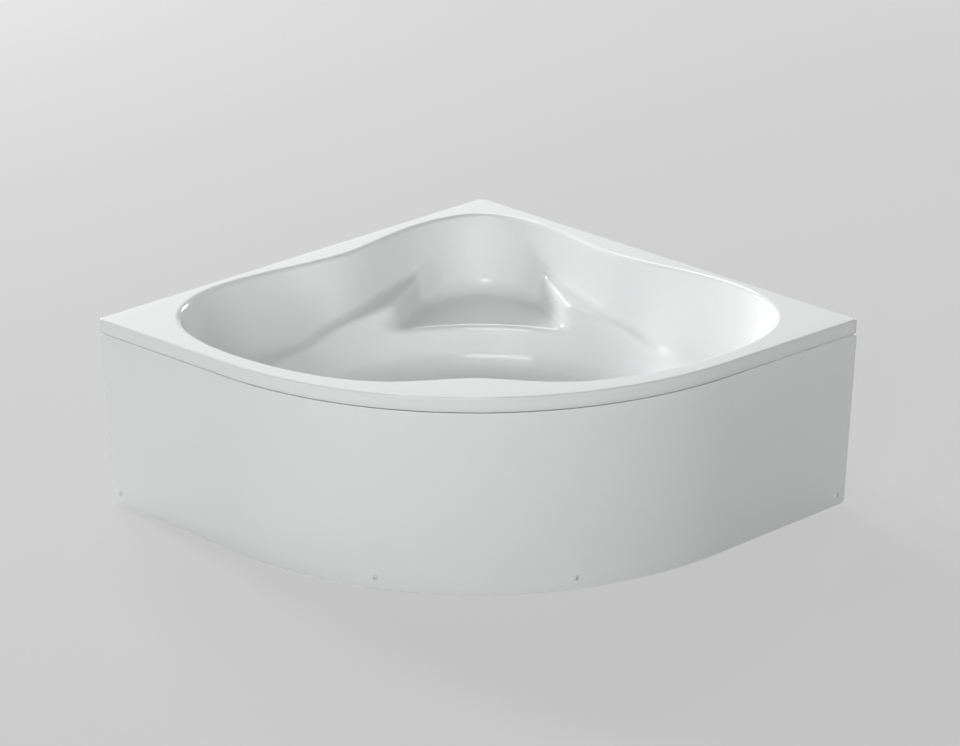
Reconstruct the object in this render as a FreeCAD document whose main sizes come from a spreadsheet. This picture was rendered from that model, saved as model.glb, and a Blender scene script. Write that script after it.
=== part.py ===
"""Corner bathtub: a moulded shell with a corner seat and two armrests, a curved front panel,
a square-tube frame on five levelling feet, and a pop-up waste worked from the overflow.

Plan frame: X to the right, Y towards the corner of the two walls, Z up, with the floor at 0.
Y is first measured from the line that joins the shell's two end corners, and every sub-part's
Placement then moves it by -plan_middle, so the origin is under the middle of the whole object.
"""
import FreeCAD, Part
import math
import os

import Sketcher
from FreeCAD import Placement, Rotation, Vector

# Driving dimensions, in millimetres and degrees.
SIZES = {
    # outline of the shell
    "wall_length": 1500, "shell_height": 580, "run_angle": 38, "run_length": 500,
    "back_corner_radius": 32, "end_corner_radius": 6, "rim_edge_radius": 5,
    "lip_depth": 42, "skin": 7,
    # basin
    "floor_level": 180, "edge_roll": 12, "floor_fillet": 70,
    "back_lean": 0.10, "side_lean": 0.42, "front_lean": 0.14,
    # seat and armrests
    "seat_level": 329, "seat_front": 566, "seat_front_radius": 700, "seat_front_lean": 0.25,
    "seat_edge_radius": 22, "seat_fillet": 45, "armrest_width": 34,
    # boards and battens
    "bond": 0.5, "board_thickness": 15, "board_width": 720, "board_depth": 550, "board_corner": 40,
    "board_centre": 65, "board_cutout": 60, "seat_board_width": 280, "seat_board_depth": 150,
    "seat_board_thickness": 12, "seat_board_centre": 690,
    "batten_thickness": 12, "batten_length": 1300, "batten_start": 80,
    # frame of square tube
    "tube_size": 25, "tube_wall": 2, "tube_corner": 3,
    "front_rail": -40, "rear_rail": 480, "rear_rail_half": 549, "long_rail": 290,
    "end_leg_across": 930, "front_leg": -462, "back_leg": 960, "wall_post_across": 531,
    "leg_bottom": 40, "bolt_radius": 4, "bolt_hole": 4.3, "bolt_head": 13, "bolt_head_height": 5,
    "wood_screw_radius": 2.5, "wood_screw_hole": 2.8, "wood_screw_head": 5,
    # levelling feet
    "stud_radius": 5, "stud_bore": 5.05, "stud_start": 4, "stud_length": 58, "stud_hex": 13,
    "pad_radius": 24, "pad_height": 12, "nut_across": 17, "nut_height": 6,
    "plug_flange": 3, "plug_depth": 25,
    # apron
    "apron_thickness": 5, "apron_recess": 2, "apron_bottom": 4, "apron_gap": 3,
    "apron_overhang": 3, "apron_corner": 14,
    "apron_screw_level": 38, "apron_screw_front": 268, "apron_screw_end": 1036,
    "apron_screw_radius": 2.1, "apron_screw_hole": 2.6, "cap_radius": 8, "bracket_plate": 3,
    "bracket_top": 75, "bracket_bottom": 12,
    # waste and trap
    "waste_across": 60, "waste_hole": 26, "flange_radius": 36, "throat": 20,
    "stem_radius": 4, "stem_bore": 4.05, "body_radius": 28, "branch_level": 114,
    "trap_radius": 42, "outlet_radius": 20, "outlet_level": 40, "outlet_reach": 240, "arm_length": 83,
    # overflow
    "overflow_level": 495, "overflow_hole": 25, "overflow_radius": 34, "knob_radius": 30,
    "pipe_radius": 16, "pipe_wall": 2, "pipe_bend": 60, "overflow_stem": 6,
    "overflow_stem_bore": 6.05, "cable_radius": 3, "cable_offset": 28, "cable_level": 118,
}

# Corners of the control polygon of the basin's edge, from the back axis to the front axis.
EDGE_POLES = ((0, 970), (262, 747), (390, 511), (611, 389), (823, 213),
              (867, -34), (668, -253), (412, -402), (198, -442), (0, -385))

# Crest of the right armrest: across, towards the corner, height.
ARMREST_CREST = ((168, 800, 432), (252, 618, 414), (332, 524, 397), (400, 462, 386),
                 (450, 405, 378), (498, 345, 370))

document = FreeCAD.newDocument("corner_bathtub")
sheet = document.addObject("Spreadsheet::Sheet", "Sizes")
nodes = {}


def fill_sheet():
    """Write every driving dimension, and those that follow from them, into the sheet."""
    sizes = dict(SIZES)
    half = sizes["wall_length"] / math.sqrt(2)
    angle = math.radians(sizes["run_angle"])
    run_end = half - sizes["run_length"] * math.cos(angle)
    front_radius = run_end / math.sin(angle)
    front_centre = front_radius * math.cos(angle) - sizes["run_length"] * math.sin(angle)
    back_tip = half - sizes["back_corner_radius"] * (math.sqrt(2) - 1)
    front_tip = front_centre - front_radius
    sizes["half_diagonal"] = half
    sizes["run_end"] = run_end
    sizes["front_radius"] = front_radius
    sizes["front_centre"] = front_centre
    sizes["plan_middle"] = (back_tip + front_tip) / 2
    sizes["deck_underside"] = sizes["shell_height"] - sizes["skin"]
    sizes["lip_bottom"] = sizes["shell_height"] - sizes["lip_depth"]
    sizes["board_bottom"] = (sizes["floor_level"] - sizes["skin"] - sizes["bond"]
                             - sizes["board_thickness"])
    for row, (alias, number) in enumerate(sizes.items(), start=1):
        sheet.set("A%d" % row, alias.replace("_", " "))
        sheet.set("B%d" % row, "%.6g" % number if number < 100 else "%.4f" % number)
        sheet.setAlias("B%d" % row, alias)
    document.recompute()


def size(alias):
    """A dimension read back from the sheet."""
    return float(sheet.get(alias))


def value(expression):
    """The number that an expression over the sheet gives."""
    return float(sheet.evalExpression(str(expression)))


# ---------------------------------------------------------------- sketches and bodies

def new_body(name):
    return document.addObject("PartDesign::Body", name)


def new_sketch(body, name, role="XY_Plane"):
    """An empty sketch on one of the body's own origin planes."""
    sketch = body.newObject("Sketcher::SketchObject", name)
    plane = [feature for feature in body.Origin.OriginFeatures if feature.Role == role][0]
    sketch.AttachmentSupport = [(plane, "")]
    sketch.MapMode = "FlatFace"
    return sketch


def fix_point(sketch, geometry, point, across, along):
    """Place one point of the sketch by two distances from its origin, bound to the sheet."""
    for kind, axis, expression in (("DistanceX", -2, across), ("DistanceY", -1, along)):
        number = value(expression)
        if abs(number) < 1e-9:
            sketch.addConstraint(Sketcher.Constraint("PointOnObject", geometry, point, axis))
        else:
            index = sketch.addConstraint(Sketcher.Constraint(kind, -1, 1, geometry, point, number))
            sketch.setExpression("Constraints[%d]" % index, str(expression))


def add_polygon(sketch, corners):
    """A closed chain of lines through corners given as pairs of expressions."""
    first = sketch.GeometryCount
    points = [Vector(value(across), value(along), 0) for across, along in corners]
    count = len(points)
    for index in range(count):
        sketch.addGeometry(Part.LineSegment(points[index], points[(index + 1) % count]), False)
    for index in range(count):
        following = first + (index + 1) % count
        sketch.addConstraint(Sketcher.Constraint("Coincident", first + index, 2, following, 1))
    for index, (across, along) in enumerate(corners):
        fix_point(sketch, first + index, 1, across, along)


def add_circle(sketch, across, along, radius):
    """A circle bound to the sheet by its centre and radius."""
    centre = Vector(value(across), value(along), 0)
    index = sketch.addGeometry(Part.Circle(centre, Vector(0, 0, 1), value(radius)), False)
    if centre.Length < 1e-9:
        sketch.addConstraint(Sketcher.Constraint("Coincident", index, 3, -1, 1))
    else:
        fix_point(sketch, index, 3, across, along)
    bound = sketch.addConstraint(Sketcher.Constraint("Radius", index, value(radius)))
    sketch.setExpression("Constraints[%d]" % bound, str(radius))


def rectangle(width, depth):
    """Corners of a rectangle centred on the sketch's origin."""
    return [("-(%s)/2" % width, "-(%s)/2" % depth), ("(%s)/2" % width, "-(%s)/2" % depth),
            ("(%s)/2" % width, "(%s)/2" % depth), ("-(%s)/2" % width, "(%s)/2" % depth)]


def hexagon(across_flats):
    """Corners of a hexagon of the given size across its flats."""
    return [("(%s)/sqrt(3)*cos(%d)" % (across_flats, 60 * turn),
             "(%s)/sqrt(3)*sin(%d)" % (across_flats, 60 * turn)) for turn in range(6)]


def pad(body, sketch, length):
    feature = body.newObject("PartDesign::Pad", "pad")
    feature.Profile = sketch
    feature.setExpression("Length", str(length))
    return feature


def padded(name, corners, length, holes=(), role="XY_Plane"):
    """A body padded from one polygon with round holes."""
    body = new_body(name)
    sketch = new_sketch(body, name + "_profile", role)
    add_polygon(sketch, corners)
    for across, along, radius in holes:
        add_circle(sketch, across, along, radius)
    pad(body, sketch, length)
    return body


def turned(name, corners):
    """A body turned about the vertical axis from a profile of radius and height pairs."""
    body = new_body(name)
    sketch = new_sketch(body, name + "_profile", "XZ_Plane")
    add_polygon(sketch, corners)
    feature = body.newObject("PartDesign::Revolution", "turn")
    feature.Profile = sketch
    feature.ReferenceAxis = (sketch, ["V_Axis"])
    feature.Angle = 360
    return body


def round_edges(body, radius, chosen):
    """Round the edges of the body's tip that the test picks."""
    document.recompute()
    tip = body.Tip
    names = ["Edge%d" % (index + 1) for index, edge in enumerate(tip.Shape.Edges) if chosen(edge)]
    feature = body.newObject("PartDesign::Fillet", "rounding")
    feature.Base = (tip, names)
    feature.setExpression("Radius", str(radius))
    return feature


def upright(edge):
    """True for a straight edge along the body's own Z axis."""
    box = edge.BoundBox
    return box.ZLength > 1e-3 and box.XLength < 1e-6 and box.YLength < 1e-6


def square_tube(name, length):
    """A hollow square tube that stands on the body's origin, with rounded outer corners."""
    body = new_body(name)
    sketch = new_sketch(body, name + "_section")
    add_polygon(sketch, rectangle("Sizes.tube_size", "Sizes.tube_size"))
    inner = "Sizes.tube_size - 2*Sizes.tube_wall"
    add_polygon(sketch, rectangle(inner, inner))
    pad(body, sketch, length)
    reach = value("Sizes.tube_size / 2")
    round_edges(body, "Sizes.tube_corner",
                lambda edge: upright(edge) and abs(abs(edge.BoundBox.XMin) - reach) < 1e-3)
    return body


# ---------------------------------------------------------------- placing and gathering

ALONG_X = Rotation(Vector(0, 1, 0), 90)
ALONG_Y = Rotation(Vector(1, 0, 0), -90)
LEFT_WALL = Rotation(Vector(0, 0, 1), 45)
RIGHT_WALL = Rotation(Vector(0, 0, 1), -45)


def place(feature, across, along, height, rotation=Rotation()):
    """Set a sub-part down at a point of the plan frame, bound to the sheet."""
    along = "%s - Sizes.plan_middle" % along
    feature.Placement = Placement(Vector(value(across), value(along), value(height)), rotation)
    for axis, expression in (("x", across), ("y", along), ("z", height)):
        feature.setExpression("Placement.Base." + axis, str(expression))
    return feature


def keep(name, feature):
    """Name a finished sub-part and list it for writing."""
    feature.Label = name
    nodes[name] = feature
    return feature


def placed_copy(shape, across, along, height, rotation=Rotation()):
    """A copy of a shape at a point of the plan frame."""
    move = Vector(across, along - size("plan_middle"), height)
    copy = shape.copy()
    copy.Placement = Placement(move, rotation).multiply(shape.Placement)
    return copy


def keep_group(name, source, places):
    """One sub-part that holds several separate copies of a small piece."""
    document.recompute()
    group = document.addObject("Part::Feature", name)
    group.Shape = Part.makeCompound([placed_copy(source.Shape, *spot) for spot in places])
    return keep(name, group)


def cylinder(name, radius, length, across, along, height, rotation=Rotation()):
    """A round bar from a point of the plan frame along the rotation's own Z axis."""
    bar = document.addObject("Part::Cylinder", name)
    bar.setExpression("Radius", str(radius))
    bar.setExpression("Height", str(length))
    return place(bar, across, along, height, rotation)


def joined(name, pieces):
    fuse = document.addObject("Part::MultiFuse", name)
    fuse.Shapes = pieces
    return fuse


def cut(name, base, tools):
    """The base less one or more tools."""
    result = document.addObject("Part::Cut", name)
    result.Base = base
    result.Tool = tools[0] if len(tools) == 1 else joined(name + "_tools", tools)
    return result


# ---------------------------------------------------------------- the moulded shell

def inside_both(first, second, radius):
    """Depth inside two regions at once, with their inner corner rounded to the radius."""
    corner = math.hypot(max(radius - first, 0), max(radius - second, 0))
    return max(radius, min(first, second)) - corner


def smooth_step(number, start, end):
    """0 below start, 1 above end, and an even S between them."""
    part = min(max((number - start) / (end - start), 0), 1)
    return part * part * (3 - 2 * part)


def spline_point(poles, position):
    """A point of the closed even cubic spline that the poles pull on."""
    index = int(math.floor(position))
    part = position - index
    weights = ((1 - part) ** 3, 3 * part ** 3 - 6 * part ** 2 + 4,
               -3 * part ** 3 + 3 * part ** 2 + 3 * part + 1, part ** 3)
    near = [poles[(index + step) % len(poles)] for step in (-1, 0, 1, 2)]
    return (sum(weight * pole[0] for weight, pole in zip(weights, near)) / 6,
            sum(weight * pole[1] for weight, pole in zip(weights, near)) / 6)


def edge_poles():
    """The basin edge's closed control polygon, both halves."""
    mirrored = [(-across, along) for across, along in EDGE_POLES[-2:0:-1]]
    return list(EDGE_POLES) + mirrored


def crest_height(across, along):
    """How far the armrest lifts the moulding here, as a bell about the nearest crest point."""
    across = abs(across)
    best = (1e9, 0)
    for start, end in zip(ARMREST_CREST, ARMREST_CREST[1:]):
        step = (end[0] - start[0], end[1] - start[1])
        part = ((across - start[0]) * step[0] + (along - start[1]) * step[1])
        part = min(max(part / (step[0] ** 2 + step[1] ** 2), 0), 1)
        gap = math.hypot(across - start[0] - part * step[0], along - start[1] - part * step[1])
        if gap < best[0]:
            best = (gap, start[2] + part * (end[2] - start[2]))
    gap, height = best
    return (height - size("seat_level")) * math.exp(-(gap / size("armrest_width")) ** 2)


class Column:
    """One upright slice of the basin, from its edge straight towards the waste."""

    def __init__(self, position, sizes):
        poles = edge_poles()
        self.sizes = sizes
        here = spline_point(poles, position)
        ahead = spline_point(poles, position + 0.01)
        behind = spline_point(poles, position - 0.01)
        across, along = here[0], here[1] - sizes["waste_across"]
        self.reach = math.hypot(across, along)
        self.toward = (across / self.reach, along / self.reach)
        run = (ahead[0] - behind[0], ahead[1] - behind[1])
        length = math.hypot(*run)
        turn = abs(self.toward[0] * run[1] - self.toward[1] * run[0]) / length
        self.squareness = turn
        self.margin = (sizes["edge_roll"] + 6) / turn
        bearing = math.degrees(math.atan2(abs(across), along))
        self.lean = self.wall_lean(bearing)

    def wall_lean(self, bearing):
        """Run of the wall per unit of depth: steep at the back, a sloped rest at the sides."""
        sizes = self.sizes
        to_side = smooth_step(bearing, 48, 72)
        to_front = smooth_step(bearing, 100, 135)
        lean = sizes["back_lean"] + (sizes["side_lean"] - sizes["back_lean"]) * to_side
        return lean + (sizes["front_lean"] - lean) * to_front

    def point(self, radius):
        """The plan point at this distance from the waste."""
        return (radius * self.toward[0],
                self.sizes["waste_across"] + radius * self.toward[1])

    def height(self, radius):
        """Height of the moulding's upper surface at this distance from the waste.

        The water is what lies inside the leaning wall and over the floor, less the block of the
        seat. The block lies behind a leaning arc and under a top that the armrests lift. Corners
        are rounded where two of these meet, and the surface is where the depth into the water is
        nothing, found by halving.
        """
        sizes = self.sizes
        across, along = self.point(radius)
        edge_gap = (self.reach - radius) * self.squareness
        seat_top = sizes["seat_level"] + crest_height(across, along)
        arc_centre = sizes["seat_front"] - sizes["seat_front_radius"]
        arc_gap = math.hypot(across, along - arc_centre) - sizes["seat_front_radius"]
        if along < arc_centre:
            arc_gap = -sizes["seat_front_radius"]
        low, high = sizes["floor_level"] - 1, sizes["shell_height"] + 1
        while high - low > 0.002:
            middle = (low + high) / 2
            depth = sizes["shell_height"] - middle
            wall = edge_gap - self.lean * depth
            water = inside_both(wall, middle - sizes["floor_level"], sizes["floor_fillet"])
            front = arc_gap + sizes["seat_front_lean"] * (sizes["seat_level"] - middle)
            block = inside_both(front, seat_top - middle, sizes["seat_edge_radius"])
            water = inside_both(water, -block, sizes["seat_fillet"])
            solid = inside_both(-water, depth, sizes["edge_roll"])
            if solid > 0:
                low = middle
            else:
                high = middle
        return (low + high) / 2

    def walk(self, rings):
        """Points down the slice from the deck to the waste hole, closer together at the edge."""
        samples = 260
        outer = self.reach + self.margin
        inner = self.sizes["waste_hole"]
        radii = [outer + (inner - outer) * index / samples for index in range(samples + 1)]
        heights = [self.height(radius) for radius in radii]
        travelled = [0.0]
        for index in range(samples):
            travelled.append(travelled[-1] + math.hypot(radii[index + 1] - radii[index],
                                                        heights[index + 1] - heights[index]))
        points = []
        index = 0
        steps = [0.0]
        for ring in range(rings):
            steps.append(steps[-1] + 1 - 0.85 * math.exp(-(ring / 9) ** 2))
        for ring in range(rings + 1):
            target = travelled[-1] * steps[ring] / steps[-1]
            while index < samples - 1 and travelled[index + 1] < target:
                index += 1
            part = (target - travelled[index]) / (travelled[index + 1] - travelled[index])
            radius = radii[index] + min(max(part, 0), 1) * (radii[index + 1] - radii[index])
            across, along = self.point(radius)
            points.append(Vector(across, along, self.height(radius)))
        points[0].z = self.sizes["shell_height"]
        points[-1].z = self.sizes["floor_level"]
        return points


def moulding_points(columns, rings):
    """The right half of the moulding's upper surface, from the back axis to the front axis."""
    sizes = {alias: size(alias) for alias in SIZES}
    half_turn = len(EDGE_POLES) - 1
    grid = [Column(half_turn * index / columns, sizes).walk(rings) for index in range(columns + 1)]
    for point in grid[0] + grid[-1]:
        point.x = 0
    return grid


def flipped(points):
    """Points of a column mirrored to the other side."""
    return [Vector(-point.x, point.y, point.z) for point in points]


def under_points(grid, thickness):
    """The same grid moved square to its surface by the moulding's thickness."""
    last_ring = len(grid[0]) - 1
    around = [flipped(grid[1])] + grid + [flipped(grid[-2])]
    under = []
    for behind, column, ahead in zip(around, around[1:], around[2:]):
        row = []
        for ring, here in enumerate(column):
            down = column[min(ring + 1, last_ring)] - column[max(ring - 1, 0)]
            normal = (ahead[ring] - behind[ring]).cross(down)
            if ring in (0, last_ring):
                normal = Vector(0, 0, 1)
            if normal.z < 0:
                normal = -normal
            normal.normalize()
            row.append(here - normal * thickness)
        under.append(row)
    return under


def blended(columns, weights):
    """One column of points from several, by their weights."""
    points = []
    for row in zip(*columns):
        point = Vector(0, 0, 0)
        for corner, weight in zip(row, weights):
            point += corner * weight
        points.append(point)
    return points


def skinned(grid):
    """A smooth face that a grid of points pulls on, from one plane of symmetry to the other.

    The even cubic spline is cut off at both planes, as if the mirrored columns followed, so the
    face and its mirror image meet without a crease.
    """
    poles = [blended([flipped(grid[1]), grid[0], grid[1]], (1 / 6, 4 / 6, 1 / 6)),
             blended([grid[0], grid[1]], (2 / 3, 1 / 3))]
    poles += grid[1:-1]
    poles += [blended([grid[-2], grid[-1]], (1 / 3, 2 / 3)),
              blended([grid[-2], grid[-1], flipped(grid[-2])], (1 / 6, 4 / 6, 1 / 6))]
    for point in poles[0] + poles[-1]:
        point.x = 0
    around = [4] + [1] * (len(poles) - 4) + [4]
    downward = [4] + [1] * (len(poles[0]) - 4) + [4]
    surface = Part.BSplineSurface()
    surface.buildFromPolesMultsKnots(poles, around, downward, list(range(len(around))),
                                     list(range(len(downward))), False, False, 3, 3)
    return surface.toShape()


def rim_outline(inset, level):
    """The rim's outline at a level: two walls, two straight runs and the front arc."""
    half, run_angle = size("half_diagonal"), math.radians(size("run_angle"))
    radius = size("front_radius") - inset
    centre = Vector(0, size("front_centre"), level)
    end_angle = math.radians(45) + run_angle
    reach = inset / math.sin(end_angle / 2)
    lift = (math.radians(45) - run_angle) / 2
    corner = Vector(half - reach * math.cos(lift), reach * math.sin(lift), level)
    back = Vector(0, half - inset * math.sqrt(2), level)
    tangent = centre + Vector(math.sin(run_angle), -math.cos(run_angle), 0) * radius
    right = [back, corner, tangent]
    back_round = max(size("back_corner_radius") - inset, 1)
    end_round = max(size("end_corner_radius") - inset, 1)
    back_cut = back_round
    end_cut = end_round / math.tan(end_angle / 2)
    wall = (right[1] - right[0]).normalize()
    run = (right[2] - right[1]).normalize()
    wall_start = back + wall * back_cut
    wall_end = corner - wall * end_cut
    run_start = corner + run * end_cut
    back_middle = back - Vector(0, 1, 0) * back_round * (math.sqrt(2) - 1)
    bisector = (run - wall).normalize()
    end_middle = corner + bisector * end_round * (1 / math.sin(end_angle / 2) - 1)
    front = centre - Vector(0, 1, 0) * radius

    def flip(point):
        return Vector(-point.x, point.y, point.z)

    edges = [
        Part.Arc(flip(wall_start), back_middle, wall_start).toShape(),
        Part.LineSegment(wall_start, wall_end).toShape(),
        Part.Arc(wall_end, end_middle, run_start).toShape(),
        Part.LineSegment(run_start, tangent).toShape(),
        Part.Arc(tangent, front, flip(tangent)).toShape(),
        Part.LineSegment(flip(tangent), flip(run_start)).toShape(),
        Part.Arc(flip(run_start), flip(end_middle), flip(wall_end)).toShape(),
        Part.LineSegment(flip(wall_end), flip(wall_start)).toShape(),
    ]
    return Part.Wire(edges)


def boundary(face, level, outermost):
    """The face's edge that lies in a level plane, the longest one or the shortest."""
    flat = [edge for edge in face.Edges
            if abs(edge.BoundBox.ZMin - level) < 0.02 and abs(edge.BoundBox.ZMax - level) < 0.02]
    flat.sort(key=lambda edge: edge.Length)
    return flat[-1] if outermost else flat[0]


def flat_ring(outer, inner):
    """The level face between two closed outlines."""
    return Part.makeFace([outer, inner], "Part::FaceMakerBullseye")


def rounded_rim(low, high):
    """Faces of a block with the rim's outline, with its upper edges rounded."""
    block = Part.Face(rim_outline(0, low)).extrude(Vector(0, 0, high - low))
    edges = [edge for edge in block.Edges
             if edge.BoundBox.ZLength < 1e-4 and abs(edge.BoundBox.ZMin - high) < 1e-3]
    return block.makeFillet(size("rim_edge_radius"), edges).Faces


def mirrored(shape):
    return shape.mirror(Vector(0, 0, 0), Vector(1, 0, 0))


def make_shell():
    """The moulded shell, sewn from its upper and under surfaces, its deck and its lip."""
    skin, top, under_deck = size("skin"), size("shell_height"), size("deck_underside")
    floor_under = size("floor_level") - skin
    grid = moulding_points(60, 66)
    upper, under = skinned(grid), skinned(under_points(grid, skin))
    faces = [upper, mirrored(upper), under, mirrored(under)]
    deck_edge = boundary(upper, top, True)
    under_edge = boundary(under, under_deck, True)
    hole_edge = boundary(upper, size("floor_level"), False)
    under_hole = boundary(under, floor_under, False)
    deck_loop = Part.Wire([deck_edge, mirrored(deck_edge)])
    under_loop = Part.Wire([under_edge, mirrored(under_edge)])
    lip_bottom = size("lip_bottom")
    rim = rounded_rim(lip_bottom, top)
    deck = [face for face in rim if face.normalAt(0, 0).z > 0.999][0]
    faces.append(flat_ring(deck.OuterWire, deck_loop))
    faces.append(flat_ring(rim_outline(skin, under_deck), under_loop))
    faces.append(flat_ring(rim_outline(0, lip_bottom), rim_outline(skin, lip_bottom)))
    faces += [face for face in rim if abs(face.normalAt(0, 0).z) < 0.999]
    faces += rim_outline(skin, lip_bottom).extrude(Vector(0, 0, under_deck - lip_bottom)).Faces
    hole_wall = Part.makeRuledSurface(hole_edge, under_hole)
    faces += [hole_wall, mirrored(hole_wall)]
    shell = Part.Shell(faces)
    shell.sewShape(0.01)
    solid = Part.Solid(shell)
    if solid.Volume < 0:
        solid.reverse()
    return solid


def front_wall():
    """Where the overflow's axis meets the basin's front wall: how far back, and its tilt."""
    edge = spline_point(edge_poles(), len(EDGE_POLES) - 1)[1]
    depth = size("shell_height") - size("overflow_level")
    return edge + size("front_lean") * depth, math.atan(size("front_lean"))


def build_shell():
    solid = make_shell()
    along, tilt = front_wall()
    axis = Vector(0, math.cos(tilt), math.sin(tilt))
    start = Vector(0, along, size("overflow_level")) - axis * 40
    solid = solid.cut(Part.makeCylinder(size("overflow_hole"), 70, start, axis))
    feature = document.addObject("Part::Feature", "tub_shell")
    feature.Shape = solid
    feature.Placement = Placement(Vector(0, -size("plan_middle"), 0), Rotation())
    return keep("tub_shell", feature)


# ---------------------------------------------------------------- boards, battens and frame

BOARD_SCREWS = (-150, 250)
UPPER_RAIL = "Sizes.board_bottom - Sizes.tube_size"
LOWER_RAIL = "Sizes.board_bottom - 2*Sizes.tube_size"
HALF_TUBE = "Sizes.tube_size/2"


def build_boards():
    """The boards bonded under the floor and the seat, and the battens behind the lip."""
    screws = [("%s*Sizes.long_rail" % side, "%g - Sizes.board_centre" % along,
               "Sizes.wood_screw_radius") for side in (-1, 1) for along in BOARD_SCREWS]
    waste = [("0", "Sizes.waste_across - Sizes.board_centre", "Sizes.board_cutout")]
    board = padded("base_board", rectangle("Sizes.board_width", "Sizes.board_depth"),
                   "Sizes.board_thickness", waste + screws)
    corner = value("Sizes.board_width / 2")
    round_edges(board, "Sizes.board_corner",
                lambda edge: upright(edge) and abs(abs(edge.BoundBox.XMin) - corner) < 1e-3)
    keep("base_board", place(board, "0", "Sizes.board_centre", "Sizes.board_bottom"))

    seat = padded("seat_board", rectangle("Sizes.seat_board_width", "Sizes.seat_board_depth"),
                  "Sizes.seat_board_thickness")
    seat_bottom = "Sizes.seat_level - Sizes.skin - Sizes.bond - Sizes.seat_board_thickness"
    keep("seat_board", place(seat, "0", "Sizes.seat_board_centre", seat_bottom))

    height = "Sizes.deck_underside - Sizes.lip_bottom - 2"
    start, back = "Sizes.batten_start", "(Sizes.skin + Sizes.batten_thickness)"
    end = "(Sizes.batten_start + Sizes.batten_length)"
    right = [(start, "-" + back), (end, "-" + back), (end, "-Sizes.skin"), (start, "-Sizes.skin")]
    left = [("-" + across, along) for across, along in reversed(right)]
    for name, corners, turn in (("rim_batten_right", right, RIGHT_WALL),
                                ("rim_batten_left", left, LEFT_WALL)):
        batten = padded(name, corners, height)
        keep(name, place(batten, "0", "Sizes.half_diagonal", "Sizes.lip_bottom", turn))


def drilled(name, tube, spots, bottom, length):
    """A tube with upright round holes at the given plan points."""
    drills = [cylinder(name + "_drill", radius, length, across, along, bottom)
              for across, along, radius in spots]
    return keep(name, cut(name, tube, drills))


def build_rails():
    """Two cross rails under the board, two long rails and a spine under those."""
    mid_upper, mid_lower = UPPER_RAIL + " + " + HALF_TUBE, LOWER_RAIL + " + " + HALF_TUBE
    bolt = "Sizes.bolt_hole"
    crossing = ["-Sizes.long_rail", "Sizes.long_rail"]
    half_front = "(Sizes.end_leg_across - Sizes.tube_size/2)"
    front = square_tube("front_tube", "2*" + half_front)
    place(front, "-" + half_front, "Sizes.front_rail", mid_upper, ALONG_X)
    spots = [(across, "Sizes.front_rail", bolt) for across in crossing]
    drilled("cross_rail_front", front, spots, UPPER_RAIL + " - 1", "Sizes.tube_wall + 2")

    rear = square_tube("rear_tube", "2*Sizes.rear_rail_half")
    place(rear, "-Sizes.rear_rail_half", "Sizes.rear_rail", mid_upper, ALONG_X)
    spots = [(across, "Sizes.rear_rail", bolt) for across in crossing + ["0"]]
    drilled("cross_rail_rear", rear, spots, UPPER_RAIL + " - 1", "Sizes.tube_wall + 2")

    start = "(Sizes.front_leg + Sizes.tube_size/2)"
    end = "(Sizes.rear_rail + Sizes.tube_size/2)"
    for name, across in zip(("long_rail_left", "long_rail_right"), crossing):
        tube = square_tube(name + "_tube", end + " - " + start)
        place(tube, across, start, mid_lower, ALONG_Y)
        spots = [(across, along, bolt) for along in ("Sizes.front_rail", "Sizes.rear_rail")]
        spots += [(across, "%g" % along, "Sizes.wood_screw_hole") for along in BOARD_SCREWS]
        drilled(name, tube, spots, LOWER_RAIL + " - 1", "Sizes.tube_size + 2")

    for name, along in zip(("bearer_front", "bearer_rear"), BOARD_SCREWS):
        tube = square_tube(name + "_tube", "2*Sizes.long_rail + Sizes.tube_size")
        place(tube, "-Sizes.long_rail - Sizes.tube_size/2", "%g" % along, mid_upper, ALONG_X)
        spots = [(across, "%g" % along, "Sizes.wood_screw_hole") for across in crossing]
        drilled(name, tube, spots, UPPER_RAIL + " - 1", "Sizes.tube_size + 2")

    start = "(Sizes.rear_rail - Sizes.tube_size/2)"
    end = "(Sizes.back_leg - Sizes.tube_size/2)"
    spine = square_tube("spine_tube", end + " - " + start)
    place(spine, "0", start, mid_lower, ALONG_Y)
    drilled("spine_rail", spine, [("0", "Sizes.rear_rail", bolt)],
            LOWER_RAIL + " - 1", "Sizes.tube_size + 2")


def leg_spots():
    """Name, across and along of each leg."""
    return (("front_left", "-Sizes.long_rail", "Sizes.front_leg"),
            ("front_right", "Sizes.long_rail", "Sizes.front_leg"),
            ("end_left", "-Sizes.end_leg_across", "Sizes.front_rail"),
            ("end_right", "Sizes.end_leg_across", "Sizes.front_rail"),
            ("back", "0", "Sizes.back_leg"))


def build_legs():
    """Five legs up to the deck, two posts on the rear rail, and the strut under the seat."""
    for spot, across, along in leg_spots():
        leg = square_tube("leg_" + spot, "Sizes.deck_underside - Sizes.leg_bottom")
        keep("leg_" + spot, place(leg, across, along, "Sizes.leg_bottom"))
    for side, across in (("left", "-Sizes.wall_post_across"), ("right", "Sizes.wall_post_across")):
        post = square_tube("wall_post_" + side,
                           "Sizes.deck_underside - Sizes.board_bottom")
        keep("wall_post_" + side,
             place(post, across, "Sizes.rear_rail", UPPER_RAIL + " + Sizes.tube_size", LEFT_WALL))
    strut_top = "Sizes.seat_level - Sizes.skin - Sizes.bond - Sizes.seat_board_thickness"
    strut = square_tube("seat_strut", "%s - (%s)" % (strut_top, UPPER_RAIL))
    keep("seat_strut", place(strut, "0", "Sizes.seat_board_centre", UPPER_RAIL))


def group_spots(height):
    """The legs' plan points at one height, as numbers."""
    return [(value(across), value(along), height) for _, across, along in leg_spots()]


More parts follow.
